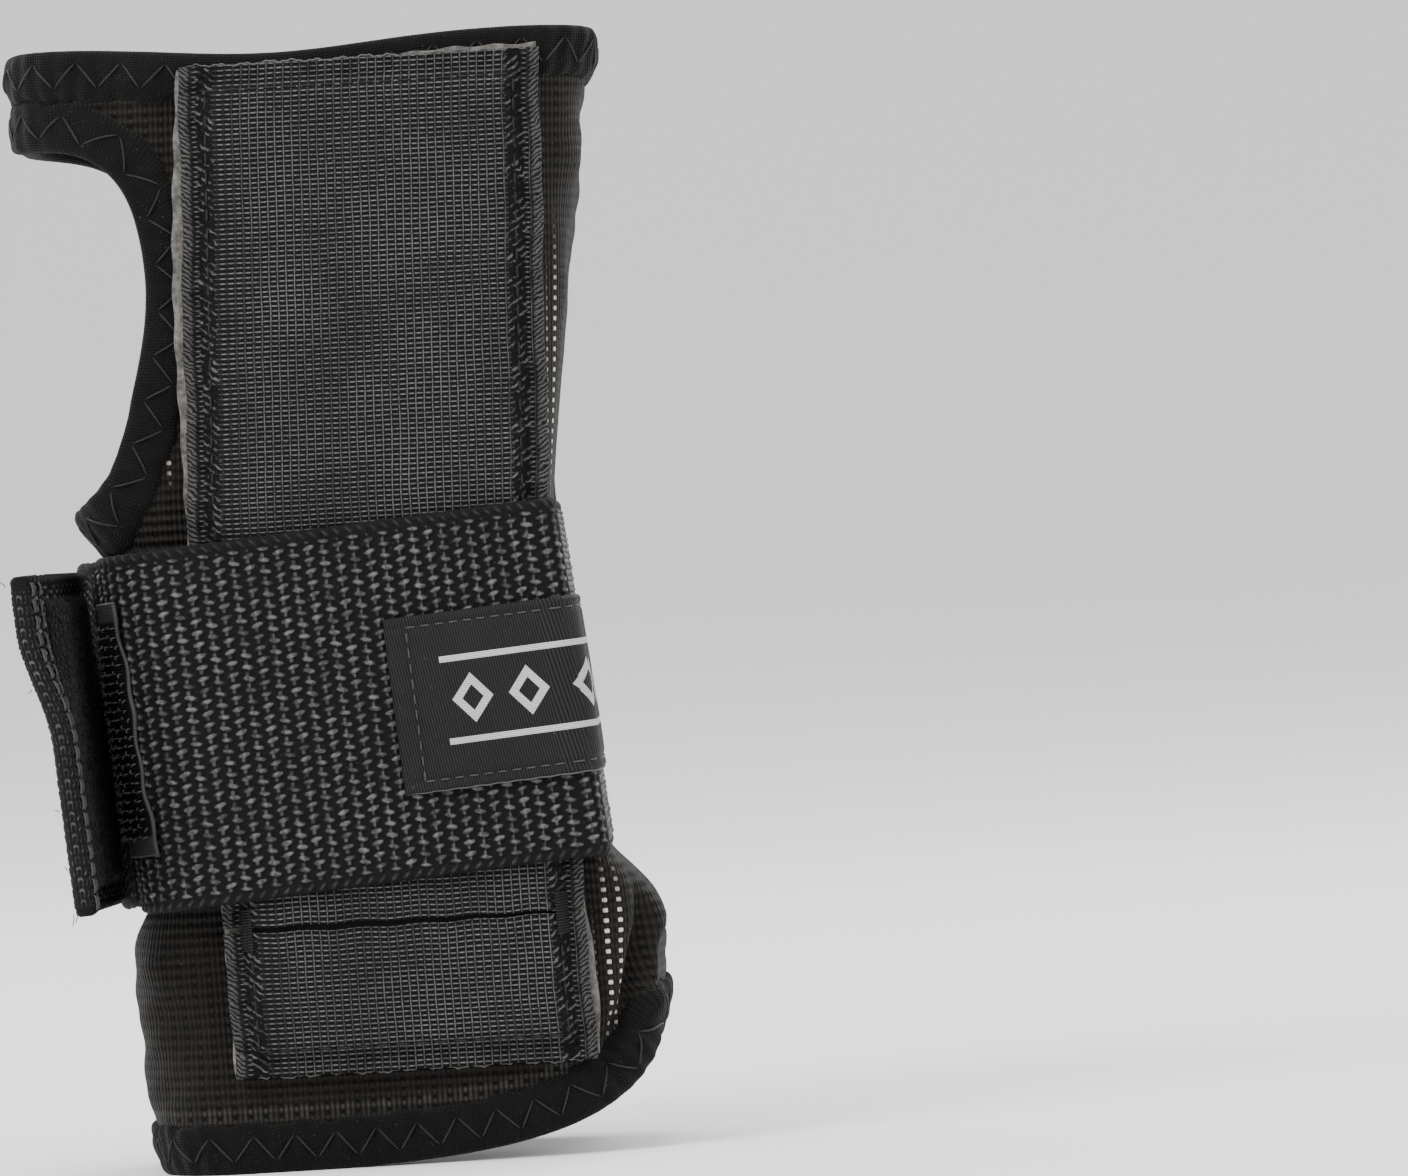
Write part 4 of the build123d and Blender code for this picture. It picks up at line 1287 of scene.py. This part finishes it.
def make_label_material():
    """Charcoal twill with fine slanting ribs, and the pale pattern woven into it."""
    material, tree, shader = cloth_material("label_twill", sheen=0.0, roughness=0.6, specular=0.12)
    u, v = thread_uv(tree)
    ribs = wave(tree, calc(tree, "MULTIPLY_ADD", v, 0.12, u), 0.38)
    picks = wave(tree, v, 0.3)
    twill = calc(tree, "MULTIPLY", ribs, ramp(tree, picks, 0, 1, 0.6, 1))
    # Painted light and shade in the twill: the ribs' tops are painted lighter, the grooves between them
    # darker.
    dark = blend_colour(tree, twill, grey(0.002), grey(0.022))
    level = calc(tree, "ABSOLUTE", calc(tree, "ADD", v, 1.0))
    stripe = calc(tree, "COMPARE", level, 5.6, 0.42)
    beyond = calc(tree, "GREATER_THAN", u, 7.0)
    bay = calc(tree, "SUBTRACT", calc(tree, "MODULO", calc(tree, "SUBTRACT", u, 7.0), 8.0), 4.0)
    reach = calc(tree, "ADD", calc(tree, "ABSOLUTE", bay), calc(tree, "MULTIPLY", level, 0.85))
    within = calc(tree, "LESS_THAN", reach, 2.9)
    diamond = calc(tree, "MULTIPLY", within, calc(tree, "GREATER_THAN", reach, 1.5))
    mark = calc(tree, "MULTIPLY", calc(tree, "MAXIMUM", stripe, diamond), beyond)
    # The pattern's pale colour is its own. Its satin threads are painted lighter on top and darker between
    # them, as painted highlight and shade.
    satin = blend_colour(tree, wave(tree, v, 0.26), grey(0.22), grey(0.55))
    colour = blend_colour(tree, mark, dark, satin)
    height = calc(tree, "MULTIPLY_ADD", mark, 1.2, ribs)
    finish_cloth(tree, shader, colour, height, 0.07, 0.2, 0.4)
    return material


label_cloth = make_label()
label_cloth.data.materials.append(make_label_material())
label_threads = threads_object("side_label_stitches", label_stitches())
label_threads.data.materials.append(make_thread_material("label_thread", 0.07))
label_yarn = threads_object("side_label_edge_yarn", [label_edge_yarn()])
label_yarn.data.materials.append(pale_yarn)
for piece, slot in ((label_cloth, "woven_label"), (label_threads, "thread"), (label_yarn, "thread")):
    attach(piece, "guard")
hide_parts("side_label")

# ---- tab ----
# The strap's loose end, peeled open a little. Its heel bends where it leaves the sleeve, and the flap past
# the fold stands off the hook patch. The end is folded back and sewn, and loop tape lines its inner face.
tab_narrow = 23.25 / strap_half
hem_length = 6.0


def tab_taper(s):
    """How the tab narrows from the strap's full height just past its heel."""
    return 1 + (tab_narrow - 1) * rise(s, run_heel, run_heel + 8)


def tab_hem(s):
    """The extra thickness of the hem that is folded back at the tab's free end."""
    return (strap_thick - 0.2) * rise(s, strap_end - hem_length - 0.6, strap_end - hem_length + 0.4)


def tab_threads():
    """Stitches across the hem, and the double pale yarn of the webbing's cut end, on the inner face."""
    share = np.linspace(0, 1, 9)
    groups = []
    for back, radius in ((3.6, 0.2), (0.9, 0.15), (1.55, 0.15)):
        w = -22.6 + 45.2 * (np.arange(20)[:, None] + 0.9 * share) / 20
        s = strap_end - back + 0.16 * np.sin(1.7 * w) + 0.1 * np.sin(0.6 * w + back)
        out = -strap_thick / 2 - tab_hem(s) - 0.28 + 0.25 * np.abs(2 * share - 1) ** 3
        point, normal = strap_at(s, w, out)
        groups.append((point, -normal, radius))
    return groups


def make_loop_tape():
    """The loop tape on the tab's inner face: a soft, uneven pile."""
    start, end = run_heel + 13.0, strap_end - hem_length - 0.8
    s, w = np.meshgrid(np.linspace(start, end, 110), np.linspace(-20, 20, 150))
    rim = np.minimum(np.minimum(s - start, end - s), 20 - np.abs(w))
    pile = 0.75 * rise(rim, 0, 1.2) + 0.12 * np.sin(4.1 * s + 2.3 * w) * np.sin(3.7 * w - 1.1 * s)
    pile = pile + 0.16 * (scatter(np.round(s * 9), np.round(w * 9)) - 0.5)
    outer, _ = strap_at(s, w, -strap_thick / 2 - 0.08)
    inner, _ = strap_at(s, w, -strap_thick / 2 - 0.25 - pile * 0.85)
    return sheet_object("tab_loop_pile", outer, inner, np.stack([s, w], -1))


def loose_ends(spots):
    """Frayed thread ends: short curved hairs that stand off an edge."""
    share = np.linspace(0, 1, 8)
    groups = []
    for k, (s, w, length, way) in enumerate(spots):
        curl = share ** 2 * (0.8 - 0.5 * scatter(k, 3))
        s_out, w_out = s + length * share * math.cos(way), w + length * share * math.sin(way)
        point, normal = strap_at(s_out, w_out, 0.9 + curl)
        groups.append((point[None], normal[None], 0.07))
    return groups


tab_heel = strap_piece("tab_heel", run_heel, run_root, tab_taper, None, True)
tab_flap = strap_piece("tab_flap", run_root, strap_end, tab_taper, tab_hem, True)
loop_pile = make_loop_tape()
flap_threads = threads_object("tab_flap_threads", tab_threads())
frays = threads_object("tab_frays", loose_ends([
    (strap_end, 22.0, 1.9, 0.5), (strap_end - 0.4, 8.0, 1.3, -0.4), (strap_end, -9.0, 1.6, 0.3),
    (strap_end - 1, -22.6, 2.1, -1.2), (strap_end - 6, -22.8, 1.4, -1.7), (strap_end, -17.0, 1.1, 0.8),
]))


def make_loop_material():
    """Loop pile: black nylon fuzz, its tips painted paler as a painted highlight."""
    material, tree, shader = cloth_material("loop_tape_nylon", sheen=0.05, roughness=0.9, specular=0.04)
    place = shader_node(tree, "TexCoord").outputs["Object"]
    fuzz = shader_node(tree, "TexNoise", {"Vector": place, "Scale": 2200.0, "Detail": 3.0}).outputs[0]
    curls = shader_node(tree, "TexVoronoi", {"Vector": place, "Scale": 1300.0}).outputs[0]
    # Painted highlight: the pile's tips, where it stands highest, are painted paler.
    tips = calc(tree, "MULTIPLY", ramp(tree, curls, 0.5, 0.2), ramp(tree, fuzz, 0.4, 0.65))
    colour = blend_colour(tree, tips, grey(0.0025), grey(0.022))
    finish_cloth(tree, shader, colour, calc(tree, "SUBTRACT", fuzz, curls), 0.25, 0.4, 0.8)
    return material


tab_heel.data.materials.append(strap_cloth)
tab_flap.data.materials.append(strap_cloth)
loop_pile.data.materials.append(make_loop_material())
flap_threads.data.materials.append(make_thread_material("flap_yarn", 0.06))
frays.data.materials.append(pale_yarn)


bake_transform(tab_heel)
for piece in (tab_flap, loop_pile):
    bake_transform(piece)
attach(flap_threads, "tab_end")
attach(frays, "tab_end")
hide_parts("strap_tab_root")
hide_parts("strap_tab_end")
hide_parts("tab_loop_root", "tab_loop_end")
